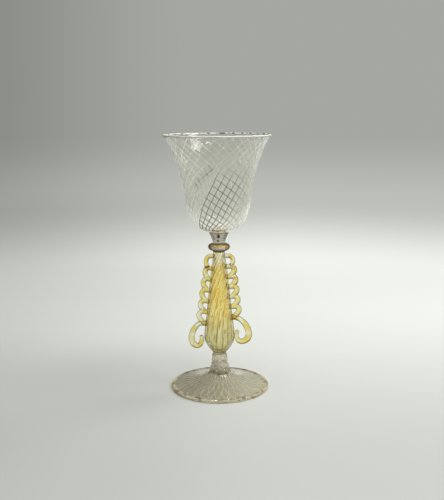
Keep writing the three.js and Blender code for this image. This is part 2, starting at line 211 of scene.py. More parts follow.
def turned(outline: Outline, sides: int) -> bmesh.types.BMesh:
    """Turns an outline about the Z axis into a closed solid.

    Args:
        outline: Points of radius and height. They start and end on the axis, or meet each other.
        sides: The number of facets round the solid.

    Returns:
        The solid, with its faces outwards.
    """
    bm = bmesh.new()
    verts = [bm.verts.new((point.x, 0, point.y)) for point in outline]
    for start, end in zip(verts, verts[1:]):
        bm.edges.new((start, end))
    bmesh.ops.spin(
        bm,
        geom=bm.verts[:] + bm.edges[:],
        cent=(0, 0, 0),
        axis=(0, 0, 1),
        angle=FULL_TURN,
        steps=sides,
        use_merge=True,
    )
    bmesh.ops.remove_doubles(bm, verts=bm.verts[:], dist=MERGED)
    bmesh.ops.recalc_face_normals(bm, faces=bm.faces[:])
    return bm


def reshape(bm: bmesh.types.BMesh, place: Placing) -> None:
    """Moves every vertex about the Z axis and keeps where it was in the attribute that patterns read.

    Args:
        bm: The solid to change.
        place: Gives a vertex's new radius, angle and height from its old ones.
    """
    straight = bm.verts.layers.float_vector.new("straight")
    for vert in bm.verts:
        vert[straight] = vert.co
        radius, angle, height = place(vert.co.xy.length, math.atan2(vert.co.y, vert.co.x), vert.co.z)
        vert.co = (radius * math.cos(angle), radius * math.sin(angle), height)


def drawn_rod(line: Sequence[Vector], radii: Sequence[float], sides: int) -> bmesh.types.BMesh:
    """Draws out a round rod along a line.

    Args:
        line: The points that the middle of the rod follows.
        radii: The rod's radius at each point.
        sides: The number of facets round the rod.

    Returns:
        The closed rod.
    """
    bm = bmesh.new()
    turn = Vector((0, 0, 1)).rotation_difference(line[1] - line[0])
    frame = Matrix.LocRotScale(line[0], turn, Vector.Fill(3, radii[0]))
    ring = bmesh.ops.create_circle(bm, cap_ends=True, radius=1, segments=sides, matrix=frame)["verts"]
    edges = list({edge for vert in ring for edge in vert.link_edges})
    for i in range(1, len(line)):
        along = line[min(i + 1, len(line) - 1)] - line[i - 1]
        turn = (turn @ Vector((0, 0, 1))).rotation_difference(along) @ turn
        new_frame = Matrix.LocRotScale(line[i], turn, Vector.Fill(3, radii[i]))
        made = bmesh.ops.extrude_edge_only(bm, edges=edges)["geom"]
        ring = [item for item in made if isinstance(item, bmesh.types.BMVert)]
        edges = [item for item in made if isinstance(item, bmesh.types.BMEdge)]
        bmesh.ops.transform(bm, matrix=new_frame @ frame.inverted(), verts=ring)
        frame = new_frame
    bmesh.ops.holes_fill(bm, edges=edges, sides=sides)
    bmesh.ops.recalc_face_normals(bm, faces=bm.faces[:])
    return bm


def gather(parts: Iterable[bmesh.types.BMesh]) -> bmesh.types.BMesh:
    """Puts several meshes into one.

    Args:
        parts: The meshes. They are freed.

    Returns:
        The new mesh.
    """
    whole = bmesh.new()
    for part in parts:
        carrier = bpy.data.meshes.new("carrier")
        part.to_mesh(carrier)
        part.free()
        whole.from_mesh(carrier)
        bpy.data.meshes.remove(carrier)
    return whole


def new_object(name: str, bm: bmesh.types.BMesh, material: bpy.types.Material) -> bpy.types.Object:
    """Turns a mesh into a smooth object of the scene.

    Args:
        name: The object's name.
        bm: Its mesh, in place. It is freed.
        material: Its finish.

    Returns:
        The new object.
    """
    mesh = bpy.data.meshes.new(name)
    for face in bm.faces:
        face.smooth = True
    bm.to_mesh(mesh)
    bm.free()
    mesh.materials.append(material)
    made = bpy.data.objects.new(name, mesh)
    bpy.context.scene.collection.objects.link(made)
    return made


def make_piece(
    name: str, bm: bmesh.types.BMesh, material: bpy.types.Material, slot: Slot, *nodes: str
) -> bpy.types.Object:
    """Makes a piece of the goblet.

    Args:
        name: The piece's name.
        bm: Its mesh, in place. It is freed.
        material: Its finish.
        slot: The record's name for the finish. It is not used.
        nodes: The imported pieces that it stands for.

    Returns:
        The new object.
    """
    piece = new_object(name, bm, material)
    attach(piece, "root")
    if nodes:
        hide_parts(*nodes)
    LOG.info("%s: %d faces", name, len(piece.data.polygons))
    return piece


# Materials


class Graph:
    """Adds and links the nodes of one material or one group."""

    def __init__(self, tree: bpy.types.NodeTree) -> None:
        """Starts from an empty tree."""
        self.tree = tree
        tree.nodes.clear()

    def add(self, kind: str, **settings: object) -> bpy.types.Node:
        """Adds a node.

        Args:
            kind: The node's type name.
            settings: Properties of the node, by name.

        Returns:
            The new node.
        """
        node = self.tree.nodes.new(kind)
        for name, value in settings.items():
            setattr(node, name, value)
        return node

    def link(self, source: bpy.types.NodeSocket, target: bpy.types.NodeSocket) -> None:
        """Links an output to an input."""
        self.tree.links.new(source, target)

    def fill(self, socket: bpy.types.NodeSocket, value: object) -> None:
        """Sets or links an input.

        Args:
            socket: The input.
            value: A number, a colour or an output.
        """
        if isinstance(value, bpy.types.NodeSocket):
            self.link(value, socket)
        elif isinstance(value, tuple):
            socket.default_value = (*value, 1.0)
        else:
            socket.default_value = value

    def math(self, operation: str, first: object, second: object = 0.0) -> bpy.types.NodeSocket:
        """Adds a Math node.

        Args:
            operation: What it does.
            first: A number or an output.
            second: A number or an output.

        Returns:
            The node's output.
        """
        node = self.add("ShaderNodeMath", operation=operation)
        for socket, value in zip(node.inputs, (first, second)):
            self.fill(socket, value)
        return node.outputs["Value"]

    def times(self, first: object, second: object) -> bpy.types.NodeSocket:
        """Multiplies two numbers or outputs."""
        return self.math("MULTIPLY", first, second)

    def rest(self, value: bpy.types.NodeSocket) -> bpy.types.NodeSocket:
        """What is left of one after a value."""
        return self.math("SUBTRACT", 1.0, value)

    def vector_math(
        self, operation: str, first: bpy.types.NodeSocket, second: tuple[float, float, float] = (0, 0, 0)
    ) -> bpy.types.Node:
        """Adds a Vector Math node.

        Args:
            operation: What it does.
            first: An output.
            second: A fixed vector.

        Returns:
            The new node.
        """
        node = self.add("ShaderNodeVectorMath", operation=operation)
        self.link(first, node.inputs[0])
        node.inputs[1].default_value = second
        return node

    def split(self, vector: bpy.types.NodeSocket) -> list[bpy.types.NodeSocket]:
        """Splits a vector.

        Args:
            vector: The output to split.

        Returns:
            Its X, Y and Z.
        """
        parts = self.add("ShaderNodeSeparateXYZ")
        self.link(vector, parts.inputs[0])
        return list(parts.outputs)

    def mix(self, factor: object, first: object, second: object, blend: str = "MIX") -> bpy.types.NodeSocket:
        """Adds a colour Mix node.

        Args:
            factor: A number or an output.
            first: A colour or an output.
            second: A colour or an output.
            blend: How the colours are mixed.

        Returns:
            The mixed colour.
        """
        node = self.add("ShaderNodeMix", data_type="RGBA", blend_type=blend, clamp_factor=True)
        for index, value in zip(MIX_INPUTS, (factor, first, second)):
            self.fill(node.inputs[index], value)
        return node.outputs[MIX_RESULT]

    def ramp(
        self, value: bpy.types.NodeSocket, low: float, high: float, first: float = 0.0, last: float = 1.0
    ) -> bpy.types.NodeSocket:
        """Maps a value smoothly from one range to another.

        Args:
            value: The output to map.
            low: The value that gives first.
            high: The value that gives last.
            first: The result at low.
            last: The result at high.

        Returns:
            The mapped value's output.
        """
        node = self.add("ShaderNodeMapRange", interpolation_type="SMOOTHSTEP")
        self.link(value, node.inputs["Value"])
        for name, number in zip(("From Min", "From Max", "To Min", "To Max"), (low, high, first, last)):
            node.inputs[name].default_value = number
        return node.outputs["Result"]

    def surface(self, shader: bpy.types.Node) -> None:
        """Makes a shader the material's surface."""
        self.link(shader.outputs[0], self.add("ShaderNodeOutputMaterial").inputs["Surface"])

    def place(self, group: bpy.types.NodeTree, **values: object) -> bpy.types.Node:
        """Places a shared group and sets its inputs.

        Args:
            group: The group.
            values: Numbers, colours or outputs, by the input's name.

        Returns:
            The group's node.
        """
        node = self.add("ShaderNodeGroup", node_tree=group)
        for name, value in values.items():
            self.fill(node.inputs[name], value)
        return node


def new_material(name: str) -> tuple[bpy.types.Material, Graph]:
    """Starts a material from an empty tree.

    Args:
        name: The material's name.

    Returns:
        The material and its graph.
    """
    material = bpy.data.materials.new(name)
    material.use_nodes = True
    return material, Graph(material.node_tree)


def new_group(
    name: str, inputs: dict[str, tuple[str, object]], outputs: dict[str, str]
) -> tuple[Graph, bpy.types.Node, bpy.types.Node]:
    """Starts a shared shader group.

    Args:
        name: The group's name.
        inputs: The kind and the default of each input, by name.
        outputs: The kind of each output, by name.

    Returns:
        Its graph, its input node and its output node.
    """
    tree = bpy.data.node_groups.new(name, "ShaderNodeTree")
    for label, (kind, default) in inputs.items():
        socket = tree.interface.new_socket(name=label, in_out="INPUT", socket_type=kind)
        if default is not None:
            socket.default_value = default
    for label, kind in outputs.items():
        tree.interface.new_socket(name=label, in_out="OUTPUT", socket_type=kind)
    graph = Graph(tree)
    return graph, graph.add("NodeGroupInput"), graph.add("NodeGroupOutput")


class Effects:
    """The effects that several finishes share."""

    ripple_detail: float = 1.5
    streak_detail: float = 2.0
    patch_detail: float = 1.0

    def __init__(self) -> None:
        """Builds each effect once."""
        self.ripple = self._ripple()
        self.streaks = self._streaks()
        self.patches = self._patches()

    def _ripple(self) -> bpy.types.NodeTree:
        """The soft unevenness of glass that was worked hot, as a normal.

        Returns:
            The group, with a vector, a scale and a depth for inputs.
        """
        inputs = {
            "Vector": ("NodeSocketVector", None),
            "Scale": ("NodeSocketFloat", 120.0),
            "Depth": ("NodeSocketFloat", 0.2 * MM),
        }
        graph, source, sink = new_group("worked_glass_ripple", inputs, {"Normal": "NodeSocketVector"})
        noise = self._noise(graph, self.ripple_detail, source.outputs["Vector"], source.outputs["Scale"])
        bump = graph.add("ShaderNodeBump")
        bump.inputs["Strength"].default_value = 1.0
        graph.link(source.outputs["Depth"], bump.inputs["Distance"])
        graph.link(noise, bump.inputs["Height"])
        graph.link(bump.outputs["Normal"], sink.inputs["Normal"])
        return graph.tree

    def _streaks(self) -> bpy.types.NodeTree:
        """Streaks of colour drawn out along Z, as a mask.

        Returns:
            The group, with a vector, two scales and the mask's range for inputs.
        """
        inputs = {
            "Vector": ("NodeSocketVector", None),
            "Across": ("NodeSocketFloat", 400.0),
            "Along": ("NodeSocketFloat", 20.0),
            "Low": ("NodeSocketFloat", 0.4),
            "High": ("NodeSocketFloat", 0.6),
        }
        graph, source, sink = new_group("drawn_streaks", inputs, {"Mask": "NodeSocketFloat"})
        joined = graph.add("ShaderNodeCombineXYZ")
        scales = [source.outputs[name] for name in ("Across", "Across", "Along")]
        for part, scale, target in zip(graph.split(source.outputs["Vector"]), scales, joined.inputs):
            graph.link(graph.times(part, scale), target)
        noise = self._noise(graph, self.streak_detail, joined.outputs[0], 1.0)
        self._spread(graph, noise, source, sink)
        return graph.tree

    def _patches(self) -> bpy.types.NodeTree:
        """Cloudy patches of colour, as a mask.

        Returns:
            The group, with a vector, a scale and the mask's range for inputs.
        """
        inputs = {
            "Vector": ("NodeSocketVector", None),
            "Scale": ("NodeSocketFloat", 150.0),
            "Low": ("NodeSocketFloat", 0.45),
            "High": ("NodeSocketFloat", 0.65),
        }
        graph, source, sink = new_group("cloudy_patches", inputs, {"Mask": "NodeSocketFloat"})
        noise = self._noise(graph, self.patch_detail, source.outputs["Vector"], source.outputs["Scale"])
        self._spread(graph, noise, source, sink)
        return graph.tree

    def _noise(
        self, graph: Graph, detail: float, vector: bpy.types.NodeSocket, scale: object
    ) -> bpy.types.NodeSocket:
        """Adds a noise.

        Args:
            graph: The group's graph.
            detail: How much detail the noise has.
            vector: The coordinates that it follows.
            scale: Its scale, a number or an output.

        Returns:
            The noise's output.
        """
        noise = graph.add("ShaderNodeTexNoise")
        noise.inputs["Detail"].default_value = detail
        graph.link(vector, noise.inputs["Vector"])
        graph.fill(noise.inputs["Scale"], scale)
        return noise.outputs["Fac"]

    def _spread(
        self, graph: Graph, noise: bpy.types.NodeSocket, source: bpy.types.Node, sink: bpy.types.Node
    ) -> None:
        """Turns a noise into the group's mask, between its Low and its High.

        Args:
            graph: The group's graph.
            noise: The noise's output.
            source: The group's input node.
            sink: The group's output node.
        """
        spread = graph.add("ShaderNodeMapRange", interpolation_type="SMOOTHSTEP")
        graph.link(noise, spread.inputs["Value"])
        graph.link(source.outputs["Low"], spread.inputs["From Min"])
        graph.link(source.outputs["High"], spread.inputs["From Max"])
        graph.link(spread.outputs["Result"], sink.inputs["Mask"])

    def streak_mask(
        self, graph: Graph, vector: bpy.types.NodeSocket, across: float, along: float, low: float, high: float
    ) -> bpy.types.NodeSocket:
        """Places the streaks and gives their mask."""
        node = graph.place(self.streaks, Vector=vector, Across=across, Along=along, Low=low, High=high)
        return node.outputs["Mask"]

    def patch_mask(
        self, graph: Graph, vector: bpy.types.NodeSocket, scale: float, low: float, high: float
    ) -> bpy.types.NodeSocket:
        """Places the patches and gives their mask."""
        return graph.place(self.patches, Vector=vector, Scale=scale, Low=low, High=high).outputs["Mask"]


@dataclass(frozen=True)
class GlassFinish:
    """Fire-polished glass, whose colour deepens towards its outline: partly the longer path through the glass
    and partly painted shade for the darker surroundings seen at its edge.
    """

    name: str
    tint: Colour
    outline: Colour
    ripple_scale: float = 150.0
    ripple_depth: float = 0.02 * MM
    roughness: float = 0.0
    ior: float = 1.5
    # How far a place turns from the eye where the darker outline begins and where it is full.
    outline_start: float = 0.6
    outline_end: float = 1.0
    shadow: Colour = (0.82, 0.82, 0.8)
    # The share of the light that passes. The rest is scattered, as in glass full of seeds.
    clearness: float = 1.0

    def coordinates(self, graph: Graph) -> bpy.types.NodeSocket:
        """The coordinates that the patterns follow."""
        return graph.add("ShaderNodeTexCoord").outputs["Object"]

    def colour(self, graph: Graph, effects: Effects, vector: bpy.types.NodeSocket) -> object:
        """The glass's own colour over its surface, as a colour or an output."""
        return self.tint

    def edge_colour(self, graph: Graph, vector: bpy.types.NodeSocket) -> object:
        """The colour at the outline."""
        return self.outline

    def build(self, effects: Effects) -> bpy.types.Material:
        """Builds the material.

        Args:
            effects: The shared effects.

        Returns:
            The new material.
        """
        material, graph = new_material(self.name)
        vector = self.coordinates(graph)
        glass = graph.add("ShaderNodeBsdfPrincipled")
        glass.inputs["Transmission Weight"].default_value = self.clearness
        glass.inputs["IOR"].default_value = self.ior
        glass.inputs["Roughness"].default_value = self.roughness
        facing = graph.add("ShaderNodeLayerWeight")
        # At this blend, Facing is one less the cosine of the angle to the eye.
        facing.inputs["Blend"].default_value = 0.5
        # Partly painted shade: the colour darkens towards the outline as the surface turns from the eye.
        edge = graph.ramp(facing.outputs["Facing"], self.outline_start, self.outline_end)
        body, rim = self.colour(graph, effects, vector), self.edge_colour(graph, vector)
        graph.link(graph.mix(edge, body, rim), glass.inputs["Base Color"])
        ripple = graph.place(effects.ripple, Vector=vector, Scale=self.ripple_scale, Depth=self.ripple_depth)
        graph.link(ripple.outputs["Normal"], glass.inputs["Normal"])
        clear = graph.add("ShaderNodeBsdfTransparent")
        graph.fill(clear.inputs["Color"], self.shadow)
        choice = graph.add("ShaderNodeMixShader")
        graph.link(graph.add("ShaderNodeLightPath").outputs["Is Shadow Ray"], choice.inputs[0])
        graph.link(glass.outputs[0], choice.inputs[1])
        graph.link(clear.outputs[0], choice.inputs[2])
        graph.surface(choice)
        return material


@dataclass(frozen=True)
class RibbedGlass(GlassFinish):
    """Glass whose colour gathers in its furrows, follows its twist and clears towards its foot."""

    ribs: int = 16
    gold: Colour = (0.97, 0.8, 0.29)
    olive: Colour = (0.72, 0.66, 0.36)
    clear: Colour = (0.98, 0.96, 0.8)
    cream: Colour = (1.0, 0.98, 0.82)
    furrow: Colour = (0.68, 0.46, 0.2)
    low_furrow: Colour = (0.46, 0.37, 0.2)
    low_outline: Colour = (0.12, 0.08, 0.02)
    # How far down into a furrow its colour begins, where its bottom is one and a rib's crest is minus one.
    furrow_start: float = 0.25
    # Both scales, across and along, and the range of the mask.
    gold_streaks: tuple[float, float, float, float] = (900.0, 60.0, 0.35, 0.65)
    furrow_breaks: tuple[float, float, float, float] = (300.0, 160.0, 0.3, 0.7)
    # The heights between which a colour passes into the next one up.
    outline_rise: tuple[float, float] = (0.04, 0.062)
    furrow_rise: tuple[float, float] = (0.044, 0.064)
    gold_rise: tuple[float, float] = (0.034, 0.062)
    cream_rise: tuple[float, float] = (0.09, 0.098)

    def coordinates(self, graph: Graph) -> bpy.types.NodeSocket:
        """The place that each point had before the twist."""
        return graph.add("ShaderNodeAttribute", attribute_name="straight").outputs["Vector"]

    def edge_colour(self, graph: Graph, vector: bpy.types.NodeSocket) -> object:
        """The outline, partly painted shade, browner round the belly where the glass is thick."""
        height = graph.split(vector)[2]
        return graph.mix(graph.ramp(height, *self.outline_rise), self.low_outline, self.outline)

    def colour(self, graph: Graph, effects: Effects, vector: bpy.types.NodeSocket) -> object:
        """Golden streaks and brown furrows on straw, clear at the foot and cream at the neck.

        Args:
            graph: The material's graph.
            effects: The shared effects.
            vector: The coordinates that the patterns follow.

        Returns:
            The colour's output.
        """
        x, y, height = graph.split(vector)
        angle = graph.math("ARCTAN2", y, x)
        wave = graph.math("COSINE", graph.times(angle, float(self.ribs)))
        furrow = graph.ramp(graph.times(wave, -1.0), self.furrow_start, 1.0)
        lines = graph.times(furrow, effects.streak_mask(graph, vector, *self.furrow_breaks))
        dark = graph.mix(graph.ramp(height, *self.furrow_rise), self.low_furrow, self.furrow)
        streaks = effects.streak_mask(graph, vector, *self.gold_streaks)
        low, high = graph.mix(streaks, self.clear, self.olive), graph.mix(streaks, self.tint, self.gold)
        body = graph.mix(graph.ramp(height, *self.gold_rise), low, high)
        body = graph.mix(graph.ramp(height, *self.cream_rise), body, self.cream)
        return graph.mix(lines, body, graph.mix(1.0, body, dark, "MULTIPLY"))


@dataclass(frozen=True)
class CloudedGlass(GlassFinish):
    """Glass with cloudy patches of a second colour."""

    patch: Colour = (0.6, 0.5, 0.2)
    patch_scale: float = 120.0
    patch_low: float = 0.5
    patch_high: float = 0.7

    def colour(self, graph: Graph, effects: Effects, vector: bpy.types.NodeSocket) -> object:
        """The tint with its patches."""
        mask = effects.patch_mask(graph, vector, self.patch_scale, self.patch_low, self.patch_high)
        return graph.mix(mask, self.tint, self.patch)


@dataclass(frozen=True)
class SpottedGlass(CloudedGlass):
    """Clouded glass with spots of another colour: deep amber where the wings' bits were joined hot, a painted
    highlight on the ring and painted dark reflections in the neck.
    """

    spot: Colour = (0.8, 0.52, 0.06)
    # Each spot's X, Z and radius.
    spots: tuple = ()
    # The shares of its radius at which a spot starts to fade and is gone.
    spot_fade: tuple[float, float] = (0.4, 1.2)

    def colour(self, graph: Graph, effects: Effects, vector: bpy.types.NodeSocket) -> object:
        """The clouded tint with its spots, which go through the piece from front to back.

        Args:
            graph: The material's graph.
            effects: The shared effects.
            vector: The coordinates that the patterns follow.

        Returns:
            The colour's output.
        """
        flat = graph.vector_math("MULTIPLY", vector, (1, 0, 1)).outputs["Vector"]
        start, end = self.spot_fade
        mask: object = 0.0
        for x, z, radius in self.spots:
            away = graph.vector_math("DISTANCE", flat, (x, 0, z)).outputs["Value"]
            mask = graph.math("MAXIMUM", mask, graph.ramp(away, start * radius, end * radius, 1.0, 0.0))
        return graph.mix(mask, super().colour(graph, effects, vector), self.spot)


@dataclass(frozen=True)
class FootGlass(GlassFinish):
    """The foot's glass, darker to the left and paler to the right as painted shade, with a speckled golden
    band where its edge is folded.
    """

    # Painted shade: the tint darkens the foot's left and passes into this paler tint on its right, over this
    # reach either side of the middle.
    painted_light_side_tint: Colour = (0.8, 0.77, 0.62)
    reach: float = 30 * MM
    band: Colour = (0.97, 0.93, 0.76)
    band_radius: float = 33.6 * MM
    band_blur: float = 0.3 * MM
    speckle: Colour = (0.34, 0.25, 0.12)
    # The paler middle, from which the knop rises.
    middle: Colour = (0.86, 0.83, 0.68)
    middle_radius: float = 8 * MM
    middle_end: float = 12 * MM
    # The scale and the range of the speckles in the band and in the middle.
    band_speckles: tuple[float, float, float] = (330.0, 0.53, 0.64)
    middle_speckles: tuple[float, float, float] = (380.0, 0.45, 0.6)

    def colour(self, graph: Graph, effects: Effects, vector: bpy.types.NodeSocket) -> object:
        """The tint, which passes along X from the painted shade on the left into the paler tint on the right,
        and into the band at the edge.

        Args:
            graph: The material's graph.
            effects: The shared effects.
            vector: The coordinates that the patterns follow.

        Returns:
            The colour's output.
        """
        # Painted shade: the foot darkens to the left.
        side = graph.ramp(graph.split(vector)[0], -self.reach, self.reach)
        disc = graph.mix(side, self.tint, self.painted_light_side_tint)
        flat = graph.vector_math("MULTIPLY", vector, (1, 1, 0)).outputs["Vector"]
        radius = graph.vector_math("LENGTH", flat).outputs["Value"]
        speckles = effects.patch_mask(graph, vector, *self.band_speckles)
        band = graph.mix(speckles, self.band, self.speckle)
        speckles = effects.patch_mask(graph, vector, *self.middle_speckles)
        middle = graph.mix(speckles, self.middle, self.speckle)
        disc = graph.mix(graph.ramp(radius, self.middle_radius, self.middle_end), middle, disc)
        edge = graph.ramp(radius, self.band_radius - self.band_blur, self.band_radius + self.band_blur)
        return graph.mix(edge, disc, band)


@dataclass(frozen=True)
class ThreadFinish:
    """White enamel drawn out into threads, darkened by painted shade where their attribute painted_shade says
    so.
    """

    name: str
    pale: Colour
    # The colour of the painted shade on the threads that show dark.
    dark: Colour = (0.2, 0.2, 0.17)
    roughness: float = 0.45
    # The scale and the range of the patches in which the enamel is thinner, and the share of tone left there.
    thin_patches: tuple[float, float, float] = (300.0, 0.3, 0.7)
    thin_shade: float = 0.85

    def build(self, effects: Effects) -> bpy.types.Material:
        """Builds the material.

        Args:
            effects: The shared effects.

        Returns:
            The new material.
        """
        material, graph = new_material(self.name)
        vector = graph.add("ShaderNodeTexCoord").outputs["Object"]
        enamel = graph.add("ShaderNodeBsdfPrincipled")
        enamel.inputs["Roughness"].default_value = self.roughness
        thin = tuple(self.thin_shade * channel for channel in self.pale)
        milky = graph.mix(effects.patch_mask(graph, vector, *self.thin_patches), self.pale, thin)
        # Painted shade: the attribute mixes the pale enamel towards the dark colour.
        painted_shade = graph.add("ShaderNodeAttribute", attribute_name="painted_shade").outputs["Fac"]
        graph.link(graph.mix(painted_shade, milky, self.dark), enamel.inputs["Base Color"])
        graph.surface(enamel)
        return material


# The goblet's sub-assemblies


@dataclass
class Foot:
    """The spread foot: a disc with a net of threads, whose edge lies on the ring folded under it."""

    effects: Effects
    seat_radius: float = 7 * MM
    wall: float = 1.5 * MM
    edge_thickness: float = 1.3 * MM
    hollow_depth: float = 11.6 * MM
    fold_width: float = 3.4 * MM
    bead_rise: float = 0.4 * MM
    # The pinches that the knop leaves in the foot's steep middle.
    pinches: int = 5
    pinch_depth: float = 0.5 * MM
    # How far they turn on their way up, in radians.
    pinch_turn: float = 2
    threads: int = 33
    thread_radius: float = 0.2 * MM
    thread_swell: float = 0.08 * MM
    # How far each thread turns on its way out, from the knop to the edge.
    thread_turn: float = math.radians(18.5)
    turn_power: float = 1.2
    # How far from the knop's seat the threads begin, and how deep they lie in the wall.
    thread_start: float = 1 * MM
    thread_depth_share: float = 0.45
    # A thread follows every third point of the disc's outline.
    thread_stride: int = 3
    # How round the fold is outside and at its inner lip, as shares of its thickness.
    fold_round_share: float = 0.85
    lip_round_share: float = 0.45
    # How far the bead along the edge ends short of the foot's steeper part.
    bead_end: float = 0.3 * MM
    sides: int = 160
    climb_steps: int = 6
    round_steps: int = 5
    lip_steps: int = 4
    climb_shares: tuple = (
        (0, 0),
        (0.12, 0.04),
        (0.29, 0.115),
        (0.51, 0.23),
        (0.7, 0.37),
        (0.855, 0.55),
        (0.95, 0.76),
        (1, 1),
    )
    radius: float = field(init=False)
    fold_top: float = field(init=False)
    top: float = field(init=False)

    def __post_init__(self) -> None:
        """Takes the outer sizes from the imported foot."""
        low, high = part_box("foot_disc")
        self.radius, self.fold_top, self.top = high.x, low.z, high.z

    def climb(self) -> Outline:
        """The disc's upper outline, from the flat edge to the knop's seat."""
        low = Vector((self.radius - self.fold_width, self.fold_top + self.edge_thickness))
        return share_outline(self.climb_shares, low, Vector((self.seat_radius, self.top)), self.climb_steps)

    def bead(self) -> Outline:
        """The low bead that the fold raises along the disc's edge.

        Returns:
            Points of radius and height, from outside in.
        """
        flat = self.fold_top + self.edge_thickness
        outer, inner = self.radius - self.edge_thickness, self.radius - self.fold_width
        top = Vector(((outer + inner) / 2, flat + self.bead_rise))
        side = Vector((inner + self.bead_end, flat))
        return [
            *quarter_turn(Vector((outer, flat)), top, self.round_steps, False),
            *quarter_turn(top, side, self.round_steps, True),
        ]

    def disc_mesh(self) -> bmesh.types.BMesh:
        """The disc as a closed shell, hollow underneath.

        Returns:
            The disc's mesh.
        """
        climb = self.climb()
        flat = self.radius - self.fold_width
        under = [
            point
            for point in reversed(offset_outline(climb, self.wall))
            if point.x < flat and self.fold_top < point.y < self.hollow_depth
        ]
        edge = Vector((self.radius, self.fold_top))
        edge_round = Vector((self.radius - self.edge_thickness, self.fold_top + self.edge_thickness))
        outline = [
            Vector((0, self.hollow_depth)),
            *under,
            Vector((flat, self.fold_top - FUSED)),
            Vector((self.radius - self.edge_thickness / 2, self.fold_top - FUSED)),
            edge,
            *quarter_turn(edge, edge_round, self.round_steps, False),
            *self.bead(),
            *climb,
            Vector((0, self.top)),
        ]
        disc = turned(outline, self.sides)

        def pinched(radius: float, angle: float, z: float) -> tuple[float, float, float]:
            """Pinches the steep middle in and out.

            Args:
                radius: The point's radius.
                angle: Its angle.
                z: Its height.

            Returns:
                Its new radius, angle and height.
            """
            up = clamped((z - self.hollow_depth) / (self.top - self.hollow_depth))
            depth = self.pinch_depth * math.sin(math.pi * up)
            pinch = depth * math.cos(self.pinches * angle + self.pinch_turn * up)
            return (radius + pinch if radius > self.seat_radius else radius), angle, z

        reshape(disc, pinched)
        return disc

    def fold_mesh(self) -> bmesh.types.BMesh:
        """The ring folded under the edge, round outside and at its inner lip.

        Returns:
            The ring's mesh.
        """
        inner = self.radius - self.fold_width
        round_out, round_in = self.fold_round_share * self.fold_top, self.lip_round_share * self.fold_top
        start = Vector((self.radius - round_out, 0))
        side = Vector((self.radius, round_out))
        inner_top = Vector((inner, self.fold_top - round_in))
        inner_low = Vector((inner, round_in))
        outline = [
            start,
            *quarter_turn(start, side, self.round_steps, True),
            Vector((self.radius, self.fold_top)),
            Vector((inner + round_in, self.fold_top)),
            *quarter_turn(Vector((inner + round_in, self.fold_top)), inner_top, self.lip_steps, True),
            inner_low,
            *quarter_turn(inner_low, Vector((inner + round_in, 0)), self.lip_steps, False),
            start,
        ]
        return turned(outline, self.sides)

    def thread_line(self, angle: float, turn: float) -> Outline:
        """One thread, out through the disc to its edge.

        Args:
            angle: Where the thread sets off, round the axis.
            turn: How far it turns to the edge.

        Returns:
            The points that it follows.
        """
        inside = offset_outline(self.climb(), self.wall * self.thread_depth_share)
        middle = [point for point in inside if point.x > self.seat_radius + self.thread_start]
        middle.reverse()
        profile = [*middle[:: self.thread_stride], middle[-1]]
        line = []
        for point in profile:
            share = (point.x - self.seat_radius) / (self.radius - self.seat_radius)
            here = angle + turn * share**self.turn_power
            line.append(Vector((point.x * math.cos(here), point.x * math.sin(here), point.y)))
        return line

    def threads_mesh(self) -> bmesh.types.BMesh:
        """Both families of threads, which cross each other in long diamonds.

        Returns:
            Their mesh.
        """
        rods = []
        for turn in (-self.thread_turn, self.thread_turn):
            for k in range(self.threads):
                line = self.thread_line(FULL_TURN * k / self.threads, turn)
                swells = [math.sin(math.pi * i / (len(line) - 1)) for i in range(len(line))]
                radii = [self.thread_radius + self.thread_swell * swell for swell in swells]
                rods.append(drawn_rod(line, radii, THREAD_SIDES))
        return gather(rods)

    def build(self) -> None:
        """Builds the disc, the folded ring and the threads."""
        disc = FootGlass(
            "foot_glass",
            tint=(0.55, 0.51, 0.39),
            outline=(0.5, 0.46, 0.33),
            ripple_scale=90.0,
            ripple_depth=0.03 * MM,
            outline_start=0.7,
            shadow=(0.56, 0.54, 0.48),
            clearness=0.86,
        )
        # Its strong dark outline is painted shade, dark along the fold's lower edge.
        fold = CloudedGlass(
            "folded_edge_glass",
            tint=(1.0, 0.97, 0.8),
            outline=(0.2, 0.16, 0.08),
            outline_start=0.35,
            outline_end=0.85,
            shadow=(0.7, 0.68, 0.6),
            clearness=0.6,
            patch=(0.45, 0.33, 0.16),
            patch_scale=330.0,
            patch_low=0.53,
            patch_high=0.64,
        )
        enamel = ThreadFinish("foot_thread_enamel", pale=(0.98, 0.98, 0.9))
        make_piece("foot_spread_disc", self.disc_mesh(), disc.build(self.effects), Slot.NET, "foot_disc")
        make_piece("foot_edge_fold", self.fold_mesh(), fold.build(self.effects), Slot.NET, "foot_folded_edge")
        make_piece("foot_net_threads", self.threads_mesh(), enamel.build(self.effects), Slot.NET)


